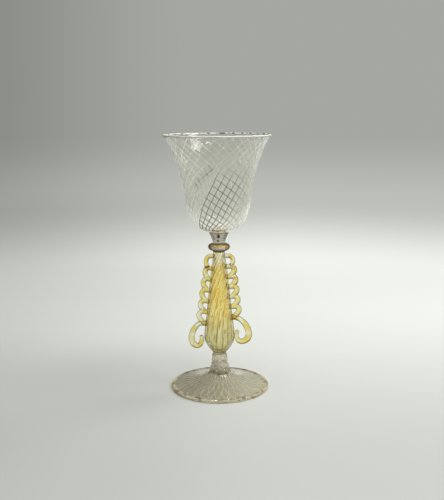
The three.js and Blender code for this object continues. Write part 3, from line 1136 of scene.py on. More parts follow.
@dataclass
class Knops:
    """The two solid clear beads between foot and stem."""

    effects: Effects
    seat_radius: float = 7 * MM
    waist_radius: float = 5.7 * MM
    bead_radius: float = 5.95 * MM
    stem_radius: float = 4.75 * MM
    lobes: int = 6
    lobe_depth: float = 0.22 * MM
    lobe_twist: float = math.pi / 3
    # The lower knop's lobes are so many times deeper.
    knop_lobe_factor: float = 3
    sides: int = 96
    knop_steps: int = 6
    bead_low_steps: int = 8
    bead_high_steps: int = 12
    knop_shares: tuple = ((0, 0), (0.05, 0.25), (0.18, 0.44), (0.82, 0.62), (1, 1))
    # How far up the upper bead is widest.
    widest_share: float = 0.36

    def foot_knop_mesh(self) -> bmesh.types.BMesh:
        """The squat bead that spreads on to the foot.

        Returns:
            The bead's mesh.
        """
        low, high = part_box("foot_knop")
        seat, waist = Vector((self.seat_radius, low.z)), Vector((self.waist_radius, high.z))
        profile = [
            Vector((0, low.z - FUSED)),
            Vector((self.seat_radius, low.z - FUSED)),
            *share_outline(self.knop_shares, seat, waist, self.knop_steps),
            Vector((0, high.z)),
        ]
        depth = self.knop_lobe_factor * self.lobe_depth
        return self.lobed(turned(profile, self.sides), low.z, high.z - low.z, depth)

    def bead_mesh(self) -> bmesh.types.BMesh:
        """The round bead with shallow twisted lobes.

        Returns:
            The bead's mesh.
        """
        low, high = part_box("bead_knop")
        height = high.z - low.z
        foot = Vector((self.waist_radius, low.z - FUSED))
        widest = Vector((self.bead_radius, low.z + height * self.widest_share))
        top = Vector((self.stem_radius, high.z))
        outline = [
            Vector((0, low.z - FUSED)),
            foot,
            *quarter_turn(foot, widest, self.bead_low_steps, True),
            *quarter_turn(widest, top, self.bead_high_steps, False),
            Vector((0, high.z)),
        ]
        return self.lobed(turned(outline, self.sides), low.z, height, self.lobe_depth)

    def lobed(self, bead: bmesh.types.BMesh, base: float, height: float, depth: float) -> bmesh.types.BMesh:
        """Gives a bead its twisted lobes.

        Args:
            bead: The plain bead.
            base: The height that it starts at.
            height: Its height.
            depth: How far the lobes stand out and in.

        Returns:
            The same bead.
        """

        def place(radius: float, angle: float, z: float) -> tuple[float, float, float]:
            """Moves one point out or in.

            Args:
                radius: The point's radius.
                angle: Its angle.
                z: Its height.

            Returns:
                Its new radius, angle and height.
            """
            up = clamped((z - base) / height)
            lobe = depth * math.sin(math.pi * up) * math.cos(self.lobes * angle)
            return (radius + lobe if radius > CORE else radius), angle + self.lobe_twist * up, z

        reshape(bead, place)
        return bead

    def build(self) -> None:
        """Builds both knops."""
        lower = CloudedGlass(
            "lower_knop_glass",
            tint=(1.0, 0.99, 0.88),
            outline=(0.45, 0.4, 0.28),
            ripple_scale=180.0,
            ripple_depth=0.3 * MM,
            roughness=0.01,
            clearness=0.65,
            patch=(0.6, 0.55, 0.34),
            patch_scale=420.0,
        )
        bead = CloudedGlass(
            "bead_knop_glass",
            tint=(0.86, 0.82, 0.66),
            outline=(0.32, 0.28, 0.2),
            ripple_scale=200.0,
            ripple_depth=0.14 * MM,
            roughness=0.03,
            outline_start=0.5,
            clearness=0.75,
            patch=(0.66, 0.58, 0.44),
            patch_scale=420.0,
        )
        make_piece("lower_knop", self.foot_knop_mesh(), lower.build(self.effects), Slot.CLEAR, "foot_knop")
        make_piece("upper_bead_knop", self.bead_mesh(), bead.build(self.effects), Slot.CLEAR, "bead_knop")


@dataclass
class Stem:
    """The hollow ribbed stem, twisted hardest near its neck."""

    effects: Effects
    foot_radius: float = 4.75 * MM
    belly_radius: float = 11.2 * MM
    belly_height: float = 12.6 * MM
    neck_radius: float = 4.45 * MM
    wall: float = 0.9 * MM
    base_thickness: float = 1.2 * MM
    # How far from the stem's foot and its top the bubble's wall ends, and how far below the top it closes.
    bubble_start: float = 3.6 * MM
    bubble_taper: float = 1.2 * MM
    bubble_end: float = 0.25 * MM
    ribs: int = 16
    rib_depth: float = 0.42 * MM
    # What that depth is divided by for how far they stand out and in, outside and in the bubble.
    outer_rib_divisor: float = 2
    inner_rib_divisor: float = 5
    # Nearer to the axis than this there are no ribs.
    rib_start: float = 3.4 * MM
    twist: float = 0.83 * math.pi
    twist_power: float = 3
    rib_fade_share: float = 0.12
    sides: int = 192
    outline_steps: int = 8
    dome_steps: int = 10
    floor_steps: int = 8
    foot_shares: tuple = ((0, 0), (0.09, 0.1), (0.26, 0.22), (0.49, 0.38), (0.8, 0.62), (0.97, 0.86), (1, 1))
    taper_shares: tuple = (
        (0.995, 0.03),
        (0.945, 0.1),
        (0.765, 0.26),
        (0.58, 0.44),
        (0.415, 0.62),
        (0.262, 0.75),
        (0.11, 0.86),
        (0.012, 0.94),
        (0, 1),
    )
    base: float = field(init=False)
    length: float = field(init=False)

    def __post_init__(self) -> None:
        """Takes the stem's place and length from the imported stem."""
        low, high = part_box("stem_baluster")
        self.base, self.length = low.z, high.z - low.z

    def outline(self) -> Outline:
        """The stem's mean outer outline, half-way between ribs and furrows.

        Returns:
            Points of radius and height, from the bottom up.
        """
        swell = self.belly_radius - self.foot_radius
        taper = self.belly_radius - self.neck_radius
        above = self.length - self.belly_height
        points = [
            Vector((self.foot_radius + swell * a, self.base + self.belly_height * b))
            for a, b in self.foot_shares
        ]
        points += [
            Vector((self.neck_radius + taper * a, self.base + self.belly_height + above * b))
            for a, b in self.taper_shares
        ]
        return smooth_line(points, self.outline_steps)

    def radius_at(self, height: float) -> float:
        """The stem's mean outer radius at a height above the table."""
        return value_at(self.outline(), height)

    def mesh(self) -> bmesh.types.BMesh:
        """The stem with the bubble inside it, whose faces point into the bubble.

        Returns:
            The stem's mesh.
        """
        outer = self.outline()
        top = self.base + self.length
        bubble = [
            point
            for point in reversed(offset_outline(outer, self.wall))
            if self.base + self.bubble_start < point.y < top - self.bubble_taper
        ]
        dome = quarter_turn(bubble[0], Vector((0, top - self.bubble_end)), self.dome_steps, False)
        bottom = Vector((0, self.base + self.base_thickness))
        floor = quarter_turn(bubble[-1], bottom, self.floor_steps, False)
        outside = [
            Vector((0, self.base - FUSED)),
            Vector((self.foot_radius, self.base - FUSED)),
            *outer,
            Vector((0, top)),
        ]
        hollow = turned([*reversed(dome), *bubble, *floor], self.sides)
        bmesh.ops.reverse_faces(hollow, faces=hollow.faces[:])
        stem = gather((turned(outside, self.sides), hollow))

        def ribbed(radius: float, angle: float, z: float) -> tuple[float, float, float]:
            """Raises the ribs and twists them round the stem.

            Args:
                radius: The point's radius.
                angle: Its angle.
                z: Its height.

            Returns:
                Its new radius, angle and height.
            """
            up = clamped((z - self.base) / self.length)
            fade = min(1, up / self.rib_fade_share, (1 - up) / self.rib_fade_share)
            outside = radius > value_at(outer, z) - self.wall / 2
            depth = self.rib_depth / (self.outer_rib_divisor if outside else self.inner_rib_divisor)
            rib = depth * fade * math.cos(self.ribs * angle) if radius > self.rib_start else 0.0
            return radius + rib, angle + self.twist * up**self.twist_power, z

        reshape(stem, ribbed)
        return stem

    def build(self) -> None:
        """Builds the stem."""
        finish = RibbedGlass(
            "gold_ribbed_glass",
            tint=(1.0, 0.97, 0.7),
            outline=(0.6, 0.46, 0.22),
            ripple_scale=300.0,
            ripple_depth=0.04 * MM,
            outline_start=0.52,
            outline_end=0.88,
            ribs=self.ribs,
        )
        make_piece("ribbed_hollow_stem", self.mesh(), finish.build(self.effects), Slot.GOLD, "stem_baluster")


@dataclass
class Collar:
    """The amber ring on top of the stem and the clear fluted neck above it."""

    effects: Effects
    ring_seat: float = 5.4 * MM
    neck_base: float = 4.5 * MM
    neck_top: float = 8 * MM
    flutes: int = 6
    flute_depth: float = 0.55 * MM
    sides: int = 96
    ring_steps: int = 10
    neck_steps: int = 8
    neck_shares: tuple = ((0, 0), (0.07, 0.2), (0.5, 0.62), (1, 1))

    def ring_mesh(self) -> bmesh.types.BMesh:
        """The ring, with a fully round edge.

        Returns:
            The ring's mesh.
        """
        low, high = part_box("amber_ring")
        foot = Vector((self.ring_seat, low.z))
        widest = Vector((high.x, (low.z + high.z) / 2))
        top = Vector((self.ring_seat, high.z))
        outline = [
            Vector((0, low.z - FUSED)),
            Vector((self.ring_seat, low.z - FUSED)),
            *quarter_turn(foot, widest, self.ring_steps, True),
            *quarter_turn(widest, top, self.ring_steps, False),
            Vector((0, high.z)),
        ]
        return turned(outline, self.sides)

    def neck_mesh(self) -> bmesh.types.BMesh:
        """The neck, whose flutes deepen as it opens under the cup.

        Returns:
            The neck's mesh.
        """
        low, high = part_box("fluted_neck")
        height = high.z - low.z
        seat, top = Vector((self.neck_base, low.z)), Vector((self.neck_top, high.z))
        outline = [
            Vector((0, low.z - FUSED)),
            Vector((self.neck_base, low.z - FUSED)),
            *share_outline(self.neck_shares, seat, top, self.neck_steps),
            Vector((self.neck_top, high.z + FUSED)),
            Vector((0, high.z + FUSED)),
        ]
        neck = turned(outline, self.sides)

        def fluted(radius: float, angle: float, z: float) -> tuple[float, float, float]:
            """Draws the flutes in between their crests.

            Args:
                radius: The point's radius.
                angle: Its angle.
                z: Its height.

            Returns:
                Its new radius, angle and height.
            """
            up = clamped((z - low.z) / height)
            flute = self.flute_depth * up * (1 - math.cos(self.flutes * angle)) / 2
            return (radius - flute if radius > CORE else radius), angle, z

        reshape(neck, fluted)
        return neck

    def build(self) -> None:
        """Builds the ring and the neck."""
        # The ring's dark edges are partly painted shade, and its white spots are a painted highlight.
        amber = SpottedGlass(
            "amber_ring_glass",
            tint=(0.9, 0.64, 0.2),
            outline=(0.06, 0.04, 0.0),
            ripple_scale=160.0,
            ripple_depth=0.03 * MM,
            ior=1.35,
            outline_start=0.18,
            outline_end=0.64,
            clearness=0.3,
            patch=(0.5, 0.3, 0.05),
            patch_scale=300.0,
            spot=(1.0, 1.0, 0.95),
            # They run together into a light band: a painted highlight across the ring's front.
            spots=tuple(((k - 0.2) * MM, 107.7 * MM, 1.15 * MM) for k in range(-4, 5)),
        )
        clear = SpottedGlass(
            "neck_glass",
            tint=(1.0, 1.0, 0.93),
            outline=(0.9, 0.88, 0.78),
            ripple_scale=200.0,
            ripple_depth=0.08 * MM,
            outline_start=0.75,
            ior=1.25,
            clearness=0.9,
            patch=(0.85, 0.79, 0.66),
            patch_scale=280.0,
            patch_low=0.5,
            patch_high=0.6,
            # Painted dark reflections: dark spots in the neck's clear glass.
            spot=(0.05, 0.04, 0.025),
            spots=(
                (-0.3 * MM, 116 * MM, 1.4 * MM),
                (-0.2 * MM, 117.2 * MM, 1.3 * MM),
                (-0.5 * MM, 112.7 * MM, 0.9 * MM),
                (-6.2 * MM, 118.6 * MM, 0.9 * MM),
                (-5.1 * MM, 117.3 * MM, 0.9 * MM),
                (-4.2 * MM, 115.8 * MM, 0.9 * MM),
                (-3.5 * MM, 114.4 * MM, 0.7 * MM),
                (5.2 * MM, 118.6 * MM, 1.1 * MM),
                (4.5 * MM, 116.8 * MM, 0.9 * MM),
                (4.0 * MM, 114.9 * MM, 0.8 * MM),
            ),
        )
        make_piece("stem_ring", self.ring_mesh(), amber.build(self.effects), Slot.AMBER, "amber_ring")
        make_piece("cup_neck", self.neck_mesh(), clear.build(self.effects), Slot.CLEAR, "fluted_neck")


@dataclass
class Cup:
    """The blown cup, which leans a little, and the net of threads in its wall."""

    effects: Effects
    wall: float = 1.3 * MM
    base_thickness: float = 1.6 * MM
    lean: float = 1 * MM
    steep_threads: int = 32
    flat_threads: int = 18
    thread_radius: float = 0.2 * MM
    # Below this share of the height the dark threads grow thicker, by this share at the bottom.
    thick_share: float = 0.3
    thickening: float = 0.45
    # How deep the steep and the flat threads lie in the wall, and how many steps of its outline they skip.
    steep_depth_share: float = 0.55
    flat_depth_share: float = 0.42
    skipped_steps: int = 5
    pale_thread_radius: float = 0.21 * MM
    back_thread_radius: float = 0.09 * MM
    # How far from the middle the threads behind grow from finest to as thick as those in front.
    fine_reach: float = 9 * MM
    fine_end: float = 17 * MM
    # Left of the dark net the flatter threads are drawn out to nearly nothing, between these degrees.
    plain_start: float = 0.5
    plain_end: float = 21
    plain_thread_radius: float = 0.04 * MM
    knot_radius: float = 8.3 * MM
    knot_tail: float = 3.2 * MM
    # The knot's lower edge and its height, as shares of the thickness of the cup's bottom.
    knot_low_share: float = 0.12
    knot_height_share: float = 0.6
    # Where the tail narrows: the shares of the knot's radius and of the tail's length.
    tail_waist_shares: tuple[float, float] = (0.25, 0.7)
    knot_sides: int = 48
    knot_steps: int = 8
    # Both ends of a row of threads behind the plain band that painted shade darkens, as X and Z, and how far
    # it reaches.
    ladder_top: tuple = (-5.5 * MM, 165 * MM)
    ladder_foot: tuple = (-18 * MM, 149 * MM)
    ladder_reach: float = 3 * MM
    # How thick the line in the lip is, and how deep its middle lies, as a share of the wall.
    lip_line_radius: float = 0.56 * MM
    lip_line_share: float = 0.45
    lip_line_steps: int = 10
    lip_sides: int = 256
    # Painted shade: dark dashes in the lip behind, where the threads end, and the share of its line that they
    # take.
    lip_dashes: int = 48
    dash_share: float = 0.4
    # Left of this X they take only so much of that share.
    sparse_start: float = -10 * MM
    sparse_share: float = 0.4
    # How far and how often the dashes wander from even steps.
    dash_wander: float = 0.3
    wander_rate: float = 2.3
    # The dark net is painted shade on white threads.
    # Degrees from the front, and the share of the height, along the first thread of the dark net.
    net_edge: tuple = (
        (-66, 0.035),
        (-48, 0.108),
        (-37, 0.183),
        (-30, 0.266),
        (-24, 0.331),
        (-14.5, 0.436),
        (-5.5, 0.545),
        (0.5, 0.628),
        (7, 0.69),
        (19, 0.787),
        (32, 0.886),
        (46, 0.986),
    )
    # The same along one thread of the flatter family.
    flat_turn: tuple = ((70, 0.035), (3, 0.284), (-47, 0.503), (-84, 0.6875), (-127, 0.986))
    # How many degrees the dark net reaches past that edge, and how high up, and where it begins to fade.
    net_width: float = 95
    net_fade_start: float = 40
    net_top: float = 0.8
    net_fade_height: float = 0.5
    # So many degrees short of the first dark thread still count as on it.
    net_edge_slack: float = 2
    # Above this share of the height every thread is painted dark.
    painted_dark_lip_share: float = 0.974
    sides: int = 160
    outline_steps: int = 6
    lip_steps: int = 6
    line_steps: int = 12
    wall_shares: tuple = (
        (0.205, 0),
        (0.285, 0.012),
        (0.392, 0.045),
        (0.482, 0.1),
        (0.549, 0.172),
        (0.602, 0.276),
        (0.637, 0.4),
        (0.677, 0.52),
        (0.727, 0.64),
        (0.803, 0.76),
        (0.872, 0.86),
        (0.948, 0.935),
        (1, 0.985),
    )
    base: float = field(init=False)
    height: float = field(init=False)
    radius: float = field(init=False)
    net_line: Outline = field(init=False)

    def __post_init__(self) -> None:
        """Takes the cup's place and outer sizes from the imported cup."""
        low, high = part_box("cup")
        self.base, self.height, self.radius = low.z, high.z - low.z, (high.x - low.x) / 2
        self.net_line = smooth_line([Vector(point) for point in self.net_edge], self.line_steps)

    def outline(self) -> Outline:
        """The outer wall, from the seat to just under the lip."""
        low, high = Vector((0, self.base)), Vector((self.radius, self.base + self.height))
        return share_outline(self.wall_shares, low, high, self.outline_steps)

    def leaning(self, bm: bmesh.types.BMesh) -> bmesh.types.BMesh:
        """Leans a mesh as the cup leans.

        Args:
            bm: The mesh to lean.

        Returns:
            The same mesh.
        """
        for vert in bm.verts:
            vert.co.x -= self.lean * (vert.co.z - self.base) / self.height
        return bm

    def wall_mesh(self) -> bmesh.types.BMesh:
        """The cup as one closed shell with a round lip.

        Returns:
            The wall's mesh.
        """
        outer = self.outline()
        bottom = self.base + self.base_thickness
        inner = [point for point in offset_outline(outer, self.wall) if point.y > bottom]
        lip_out, lip_in = outer[-1], inner[-1]
        lip = Vector(((lip_out.x + lip_in.x) / 2, self.base + self.height))
        profile = [
            Vector((0, self.base)),
            *outer,
            *quarter_turn(lip_out, lip, self.lip_steps, False),
            *quarter_turn(lip, lip_in, self.lip_steps, True)[:-1],
            *reversed(inner),
            Vector((0, bottom)),
        ]
        return self.leaning(turned(profile, self.sides))

    def share_of(self, height: float) -> float:
        """The share of the cup's height that a height above the table is."""
        return (height - self.base) / self.height

    def past_net_edge(self, degrees: float, share: float) -> float:
        """How many degrees a place lies past the first thread of the dark net, from nought to a full turn."""
        return (degrees - value_at(self.net_line, share)) % FULL_DEGREES

    def painted_darkness(self, place: Vector) -> float:
        """How much painted shade darkens the threads at a place: across the front of the net, along the row
        behind the plain band and at their ends in the lip.

        Args:
            place: The place, before the cup leans.

        Returns:
            From nought where they are pale to one.
        """
        share = self.share_of(place.z)
        past = self.past_net_edge(math.degrees(math.atan2(place.x, -place.y)), share)
        past = past - FULL_DEGREES if past > FULL_DEGREES - self.net_edge_slack else past
        across = 1 - (past - self.net_fade_start) / (self.net_width - self.net_fade_start)
        up = 1 - (share - self.net_fade_height) / (self.net_top - self.net_fade_height)
        net = clamped(across) * clamped(up)
        return 1.0 if share > self.painted_dark_lip_share else max(net, self.painted_shade_ladder(place))

    def painted_shade_ladder(self, place: Vector) -> float:
        """How much painted shade darkens the row of threads behind the plain band at a place.

        Args:
            place: The place, before the cup leans.

        Returns:
            One on the row and nought beside it.
        """
        top, foot = Vector(self.ladder_top), Vector(self.ladder_foot)
        here = Vector((place.x, place.z)) - top
        share = here.dot(foot - top) / (foot - top).length_squared
        away = (here - share * (foot - top)).length
        return 1.0 if place.y > 0 and 0 < share < 1 and away < self.ladder_reach else 0.0

    def thread(self, shift: float, turn: Outline, depth: float, plain_radius: float) -> bmesh.types.BMesh:
        """One thread inside the wall, from the cup's bottom to its lip, drawn finer behind the middle.

        Args:
            shift: Degrees from the family's first thread.
            turn: The line of degrees and shares that the family follows.
            depth: How deep the thread lies in the wall.
            plain_radius: Its radius in the plain band beside the dark net.

        Returns:
            The thread's rod.
        """
        line, radii = [], []
        for point in offset_outline(self.outline(), depth)[self.skipped_steps :]:
            here = math.radians(value_at(turn, self.share_of(point.y)) + shift)
            place = Vector((point.x * math.sin(here), -point.x * math.cos(here), point.y))
            aside = clamped((abs(place.x) - self.fine_reach) / (self.fine_end - self.fine_reach))
            behind = (1 - math.cos(here)) / 2 * (1 - aside)
            pale = self.pale_thread_radius + (self.back_thread_radius - self.pale_thread_radius) * behind
            left = FULL_DEGREES - self.past_net_edge(math.degrees(here), self.share_of(point.y))
            pale = plain_radius if self.plain_start < left < self.plain_end else pale
            low = max(0, 1 - self.share_of(point.y) / self.thick_share)
            dark_radius = self.thread_radius * (1 + self.thickening * low)
            line.append(place)
            radii.append(pale + (max(dark_radius, pale) - pale) * self.painted_darkness(place))
        return drawn_rod(line, radii, THREAD_SIDES)

    def threads_mesh(self) -> bmesh.types.BMesh:
        """Both families of threads, with a gap where the steep one misses a thread.

        Returns:
            Their mesh, whose attribute painted_shade says how much painted shade darkens them.
        """
        rods = []
        depth = self.steep_depth_share * self.wall
        for k in range(self.steep_threads - 1):
            shift = FULL_DEGREES * k / self.steep_threads
            rods.append(self.thread(shift, self.net_line, depth, self.pale_thread_radius))
        flat_line = smooth_line([Vector(point) for point in self.flat_turn], self.line_steps)
        depth = self.flat_depth_share * self.wall
        for k in range(self.flat_threads):
            shift = FULL_DEGREES * k / self.flat_threads
            rods.append(self.thread(shift, flat_line, depth, self.plain_thread_radius))
        net = gather(rods)
        painted_shade = net.verts.layers.float.new("painted_shade")
        for vert in net.verts:
            vert[painted_shade] = self.painted_darkness(vert.co)
        return self.leaning(net)

    def knot_mesh(self) -> bmesh.types.BMesh:
        """The milky knot in the cup's bottom, where all the threads meet, drawn down into the neck; it is
        partly a painted highlight on the bottom.

        Returns:
            The knot's mesh.
        """
        low = self.base + self.knot_low_share * self.base_thickness
        across, down = self.tail_waist_shares
        edge = Vector((self.knot_radius, low))
        top = Vector((0, low + self.knot_height_share * self.base_thickness))
        profile = [
            Vector((0, low - self.knot_tail)),
            Vector((across * self.knot_radius, low - down * self.knot_tail)),
            edge,
            *quarter_turn(edge, top, self.knot_steps, False),
        ]
        return self.leaning(turned(profile, self.knot_sides))

    def lip_mesh(self) -> bmesh.types.BMesh:
        """The white line in the lip, partly where the threads' ends melted together and partly a painted
        highlight along the lip.

        Returns:
            The line's mesh, with the attribute painted_shade for its painted dark dashes.
        """
        middle = offset_outline(self.outline(), self.wall / 2)[-1]
        centre = Vector((middle.x, self.base + self.height - self.lip_line_share * self.wall))
        angles = [FULL_TURN * i / self.lip_line_steps for i in range(self.lip_line_steps)]
        ring = [
            centre + self.lip_line_radius * Vector((math.cos(angle), math.sin(angle)))
            for angle in angles
        ]
        lip = turned([*ring, ring[0]], self.lip_sides)
        painted_shade = lip.verts.layers.float.new("painted_shade")
        for vert in lip.verts:
            turns = math.atan2(vert.co.x, -vert.co.y) / FULL_TURN * self.lip_dashes
            turns += self.dash_wander * math.sin(self.wander_rate * turns)
            share = self.dash_share if vert.co.x > self.sparse_start else self.sparse_share * self.dash_share
            vert[painted_shade] = 1.0 if vert.co.y > 0 and turns % 1 < share else 0.0
        return self.leaning(lip)

    def build(self) -> None:
        """Builds the wall, the threads, the line in the lip and the knot."""
        glass = GlassFinish(
            "cup_glass",
            tint=(0.975, 0.972, 0.93),
            outline=(0.8, 0.81, 0.75),
            ripple_scale=60.0,
            ripple_depth=0.015 * MM,
            outline_start=0.85,
            shadow=(0.96, 0.96, 0.95),
        )
        enamel = ThreadFinish("cup_thread_enamel", pale=(1.0, 1.0, 0.92), dark=(0.13, 0.125, 0.095))
        make_piece("blown_cup", self.wall_mesh(), glass.build(self.effects), Slot.NET, "cup")
        thread_glass = enamel.build(self.effects)
        make_piece("cup_net_threads", self.threads_mesh(), thread_glass, Slot.NET)
        make_piece("cup_lip_line", self.lip_mesh(), thread_glass, Slot.NET)
        # Its bright enamel is partly a painted highlight on the cup's bottom.
        knot = ThreadFinish("cup_knot_enamel", pale=(1.0, 0.96, 0.8))
        make_piece("cup_thread_knot", self.knot_mesh(), knot.build(self.effects), Slot.NET)


@dataclass
class Wing:
    """One wing: a rod laid on the stem in waves, with a loop above and a scroll below."""

    stem: Stem
    side: Side
    top: float
    pitch: float
    rod_radius: float
    loop_reach: float
    loop_drop: float
    top_reach: float
    bottom_reach: float
    scroll_step: float
    scroll_reach: float
    scroll_drop: float
    scroll_root: float
    scroll_belly: float
    scroll_tip: float
    scroll_shares: tuple
    waves: int = 5
    # How far outside the stem's wall the rods set off, and how deep in it their ends sink.
    rod_seat: float = 1 * MM
    sunk: float = 0.5 * MM
    crest_swell: float = 0.25 * MM
    rod_sides: int = 20
    line_steps: int = 8
    scroll_steps: int = 10
    # The square of the least share of its radius that a round tip keeps.
    least_tip: float = 0.02
    # How finely the rods are fused into each other, and how often they are smoothed afterwards.
    fused_step: float = 0.22 * MM
    polish: float = 0.5
    polish_times: int = 8
    loop_radius: float = 1.7 * MM
    wave_shares: tuple = ((0, 0), (0.38, -0.04), (0.8, 0.03), (1, 0.26), (0.88, 0.5), (0.48, 0.77), (0, 1))
    loop_shares: tuple = ((0, 0), (0.5, 0.01), (0.88, 0.2), (0.95, 0.42), (0.8, 0.68), (0.52, 0.95))

    def place(self, out: float, height: float) -> Vector:
        """A place beside the stem, at a distance from its wall."""
        return Vector((self.side.value * (self.stem.radius_at(height) + out), 0, height))

    def line(
        self, shares: tuple, reach: float, top: float, drop: float, both_ends: bool = True
    ) -> Outline:
        """A curve beside the stem, which starts in its wall.

        Args:
            shares: Pairs of the share out and the share down.
            reach: How far out a share of one is.
            top: The height that the curve starts at.
            drop: How far down a share of one is.
            both_ends: Whether it ends in the stem's wall too.

        Returns:
            The curve's points.
        """
        points = [self.place(self.rod_seat + reach * out, top - drop * down) for out, down in shares]
        points.insert(0, self.place(-self.sunk, top))
        if both_ends:
            points.append(self.place(-self.sunk, top - drop))
        return smooth_line(points, self.line_steps)

    def rod(
        self, line: Outline, radius: Callable[[float], float], round_tip: bool = False
    ) -> bmesh.types.BMesh:
        """A rod along a line.

        Args:
            line: The line that its middle follows.
            radius: Gives its radius at a share of its length.
            round_tip: Whether it closes round at its end.

        Returns:
            The rod's mesh.
        """
        lengths = [0.0]
        for start, end in zip(line, line[1:]):
            lengths.append(lengths[-1] + (end - start).length)
        whole = lengths[-1]
        radii = []
        for length in lengths:
            size = radius(length / whole)
            if round_tip and whole - length < size:
                size *= math.sqrt(max(1 - ((size - whole + length) / size) ** 2, self.least_tip))
            radii.append(size)
        return drawn_rod(line, radii, self.rod_sides)

    def waves_mesh(self) -> bmesh.types.BMesh:
        """The waves, one rod to each.

        Returns:
            Their mesh.
        """
        rods = []
        for k in range(self.waves):
            share = k / (self.waves - 1)
            reach = self.top_reach + (self.bottom_reach - self.top_reach) * share
            line = self.line(self.wave_shares, reach, self.top - self.pitch * k, self.pitch)
            rods.append(self.rod(line, lambda s: self.rod_radius + self.crest_swell * math.sin(math.pi * s)))
        return gather(rods)

    def loop_mesh(self) -> bmesh.types.BMesh:
        """The loop between the waves and the stem's neck."""
        line = self.line(self.loop_shares, self.loop_reach, self.top + self.loop_drop, self.loop_drop, False)
        return self.rod(line, lambda s: self.loop_radius)

    def scroll_mesh(self) -> bmesh.types.BMesh:
        """The scroll, thickest in the middle and rounded at its tip.

        Returns:
            The scroll's mesh.
        """
        start = self.top - self.pitch * self.waves - self.scroll_step
        root = self.stem.radius_at(start) + self.rod_seat
        points = [
            Vector((self.side.value * (root + self.scroll_reach * out), 0, start - self.scroll_drop * down))
            for out, down in self.scroll_shares
        ]
        points.insert(0, self.place(-self.sunk, start))

        def thickness(share: float) -> float:
            """The rod's radius at a share of its length."""
            rod = self.scroll_root + (self.scroll_tip - self.scroll_root) * share
            return rod + (self.scroll_belly - rod) * math.sin(math.pi * share) ** 2

        return self.rod(smooth_line(points, self.scroll_steps), thickness, True)

    def build(self, material: bpy.types.Material) -> None:
        """Builds the wing's three bits and blends each of them where its rods meet.

        Args:
            material: Their finish.
        """
        name = self.side.name.lower()
        bits = {"waves": self.waves_mesh(), "loop": self.loop_mesh(), "scroll": self.scroll_mesh()}
        for bit, mesh in bits.items():
            piece = make_piece(f"{name}_pinched_{bit}", mesh, material, Slot.STRAW, f"{name}_wing_{bit}")
            remesh = piece.modifiers.new("fuse", "REMESH")
            remesh.mode = "VOXEL"
            remesh.voxel_size = self.fused_step
            remesh.use_smooth_shade = True
            smooth = piece.modifiers.new("fire_polish", "SMOOTH")
            smooth.factor = self.polish
            smooth.iterations = self.polish_times


@dataclass
class Wings:
    """Both wings, pinched from the same straw glass."""

    effects: Effects
    stem: Stem

    def straw(self) -> SpottedGlass:
        """The wings' glass, with deep amber where its bits were joined hot.

        Returns:
            The finish.
        """
        return SpottedGlass(
            "straw_wing_glass",
            tint=(0.93, 0.77, 0.2),
            outline=(0.08, 0.06, 0.01),
            outline_start=0.28,
            outline_end=0.68,
            clearness=0.88,
            patch=(0.97, 0.95, 0.78),
            patch_scale=170.0,
            patch_low=0.46,
            patch_high=0.62,
            spots=(
                (-10 * MM, 92.4 * MM, 1.7 * MM),
                (-7.4 * MM, 92.4 * MM, 1.7 * MM),
                (7.8 * MM, 99.4 * MM, 1.8 * MM),
                (11.7 * MM, 92 * MM, 1.4 * MM),
                (12.3 * MM, 84.8 * MM, 1.8 * MM),
                (8.5 * MM, 83.5 * MM, 1.6 * MM),
                (14.8 * MM, 55 * MM, 1.4 * MM),
                (-16.4 * MM, 51 * MM, 1.4 * MM),
                (10.3 * MM, 52.5 * MM, 2 * MM),
                (13.3 * MM, 51.6 * MM, 1.6 * MM),
                (-23.6 * MM, 38.7 * MM, 1.5 * MM),
                (-11 * MM, 59.7 * MM, 1.9 * MM),
                (-14.8 * MM, 40.6 * MM, 1.6 * MM),
            ),
        )

    def left(self) -> Wing:
        """The left wing, which spreads a little wider downwards.

        Returns:
            The wing.
        """
        return Wing(
            self.stem,
            Side.LEFT,
            top=91.6 * MM,
            pitch=8.34 * MM,
            rod_radius=1.7 * MM,
            loop_reach=3.75 * MM,
            loop_drop=9.2 * MM,
            top_reach=3.25 * MM,
            bottom_reach=4.75 * MM,
            scroll_step=0.7 * MM,
            scroll_reach=9.6 * MM,
            scroll_drop=17.1 * MM,
            scroll_root=1.7 * MM,
            scroll_belly=2.35 * MM,
            scroll_tip=1.65 * MM,
            scroll_shares=(
                (0, 0),
                (0.37, 0),
                (0.69, 0.16),
                (0.93, 0.41),
                (1, 0.65),
                (0.94, 0.84),
                (0.78, 0.955),
                (0.52, 1),
                (0.29, 0.92),
                (0.2, 0.76),
                (0.2, 0.63),
                (0.3, 0.53),
            ),
        )

    def right(self) -> Wing:
        """The right wing, which starts a little higher and has closer waves.

        Returns:
            The wing.
        """
        return Wing(
            self.stem,
            Side.RIGHT,
            top=92.9 * MM,
            pitch=7.68 * MM,
            rod_radius=1.85 * MM,
            loop_reach=4.6 * MM,
            loop_drop=8.1 * MM,
            top_reach=4.3 * MM,
            bottom_reach=4.5 * MM,
            scroll_step=0.6 * MM,
            scroll_reach=11.25 * MM,
            scroll_drop=18.8 * MM,
            scroll_root=1.8 * MM,
            scroll_belly=2.5 * MM,
            scroll_tip=1.45 * MM,
            scroll_shares=(
                (0, 0),
                (0.25, 0.03),
                (0.55, 0.145),
                (0.81, 0.33),
                (0.96, 0.54),
                (1, 0.72),
                (0.91, 0.88),
                (0.72, 0.97),
                (0.48, 1),
                (0.27, 0.93),
                (0.18, 0.79),
                (0.2, 0.62),
                (0.225, 0.51),
            ),
        )

    def build(self) -> None:
        """Builds both wings."""
        material = self.straw().build(self.effects)
        for wing in (self.left(), self.right()):
            wing.build(material)


# The studio


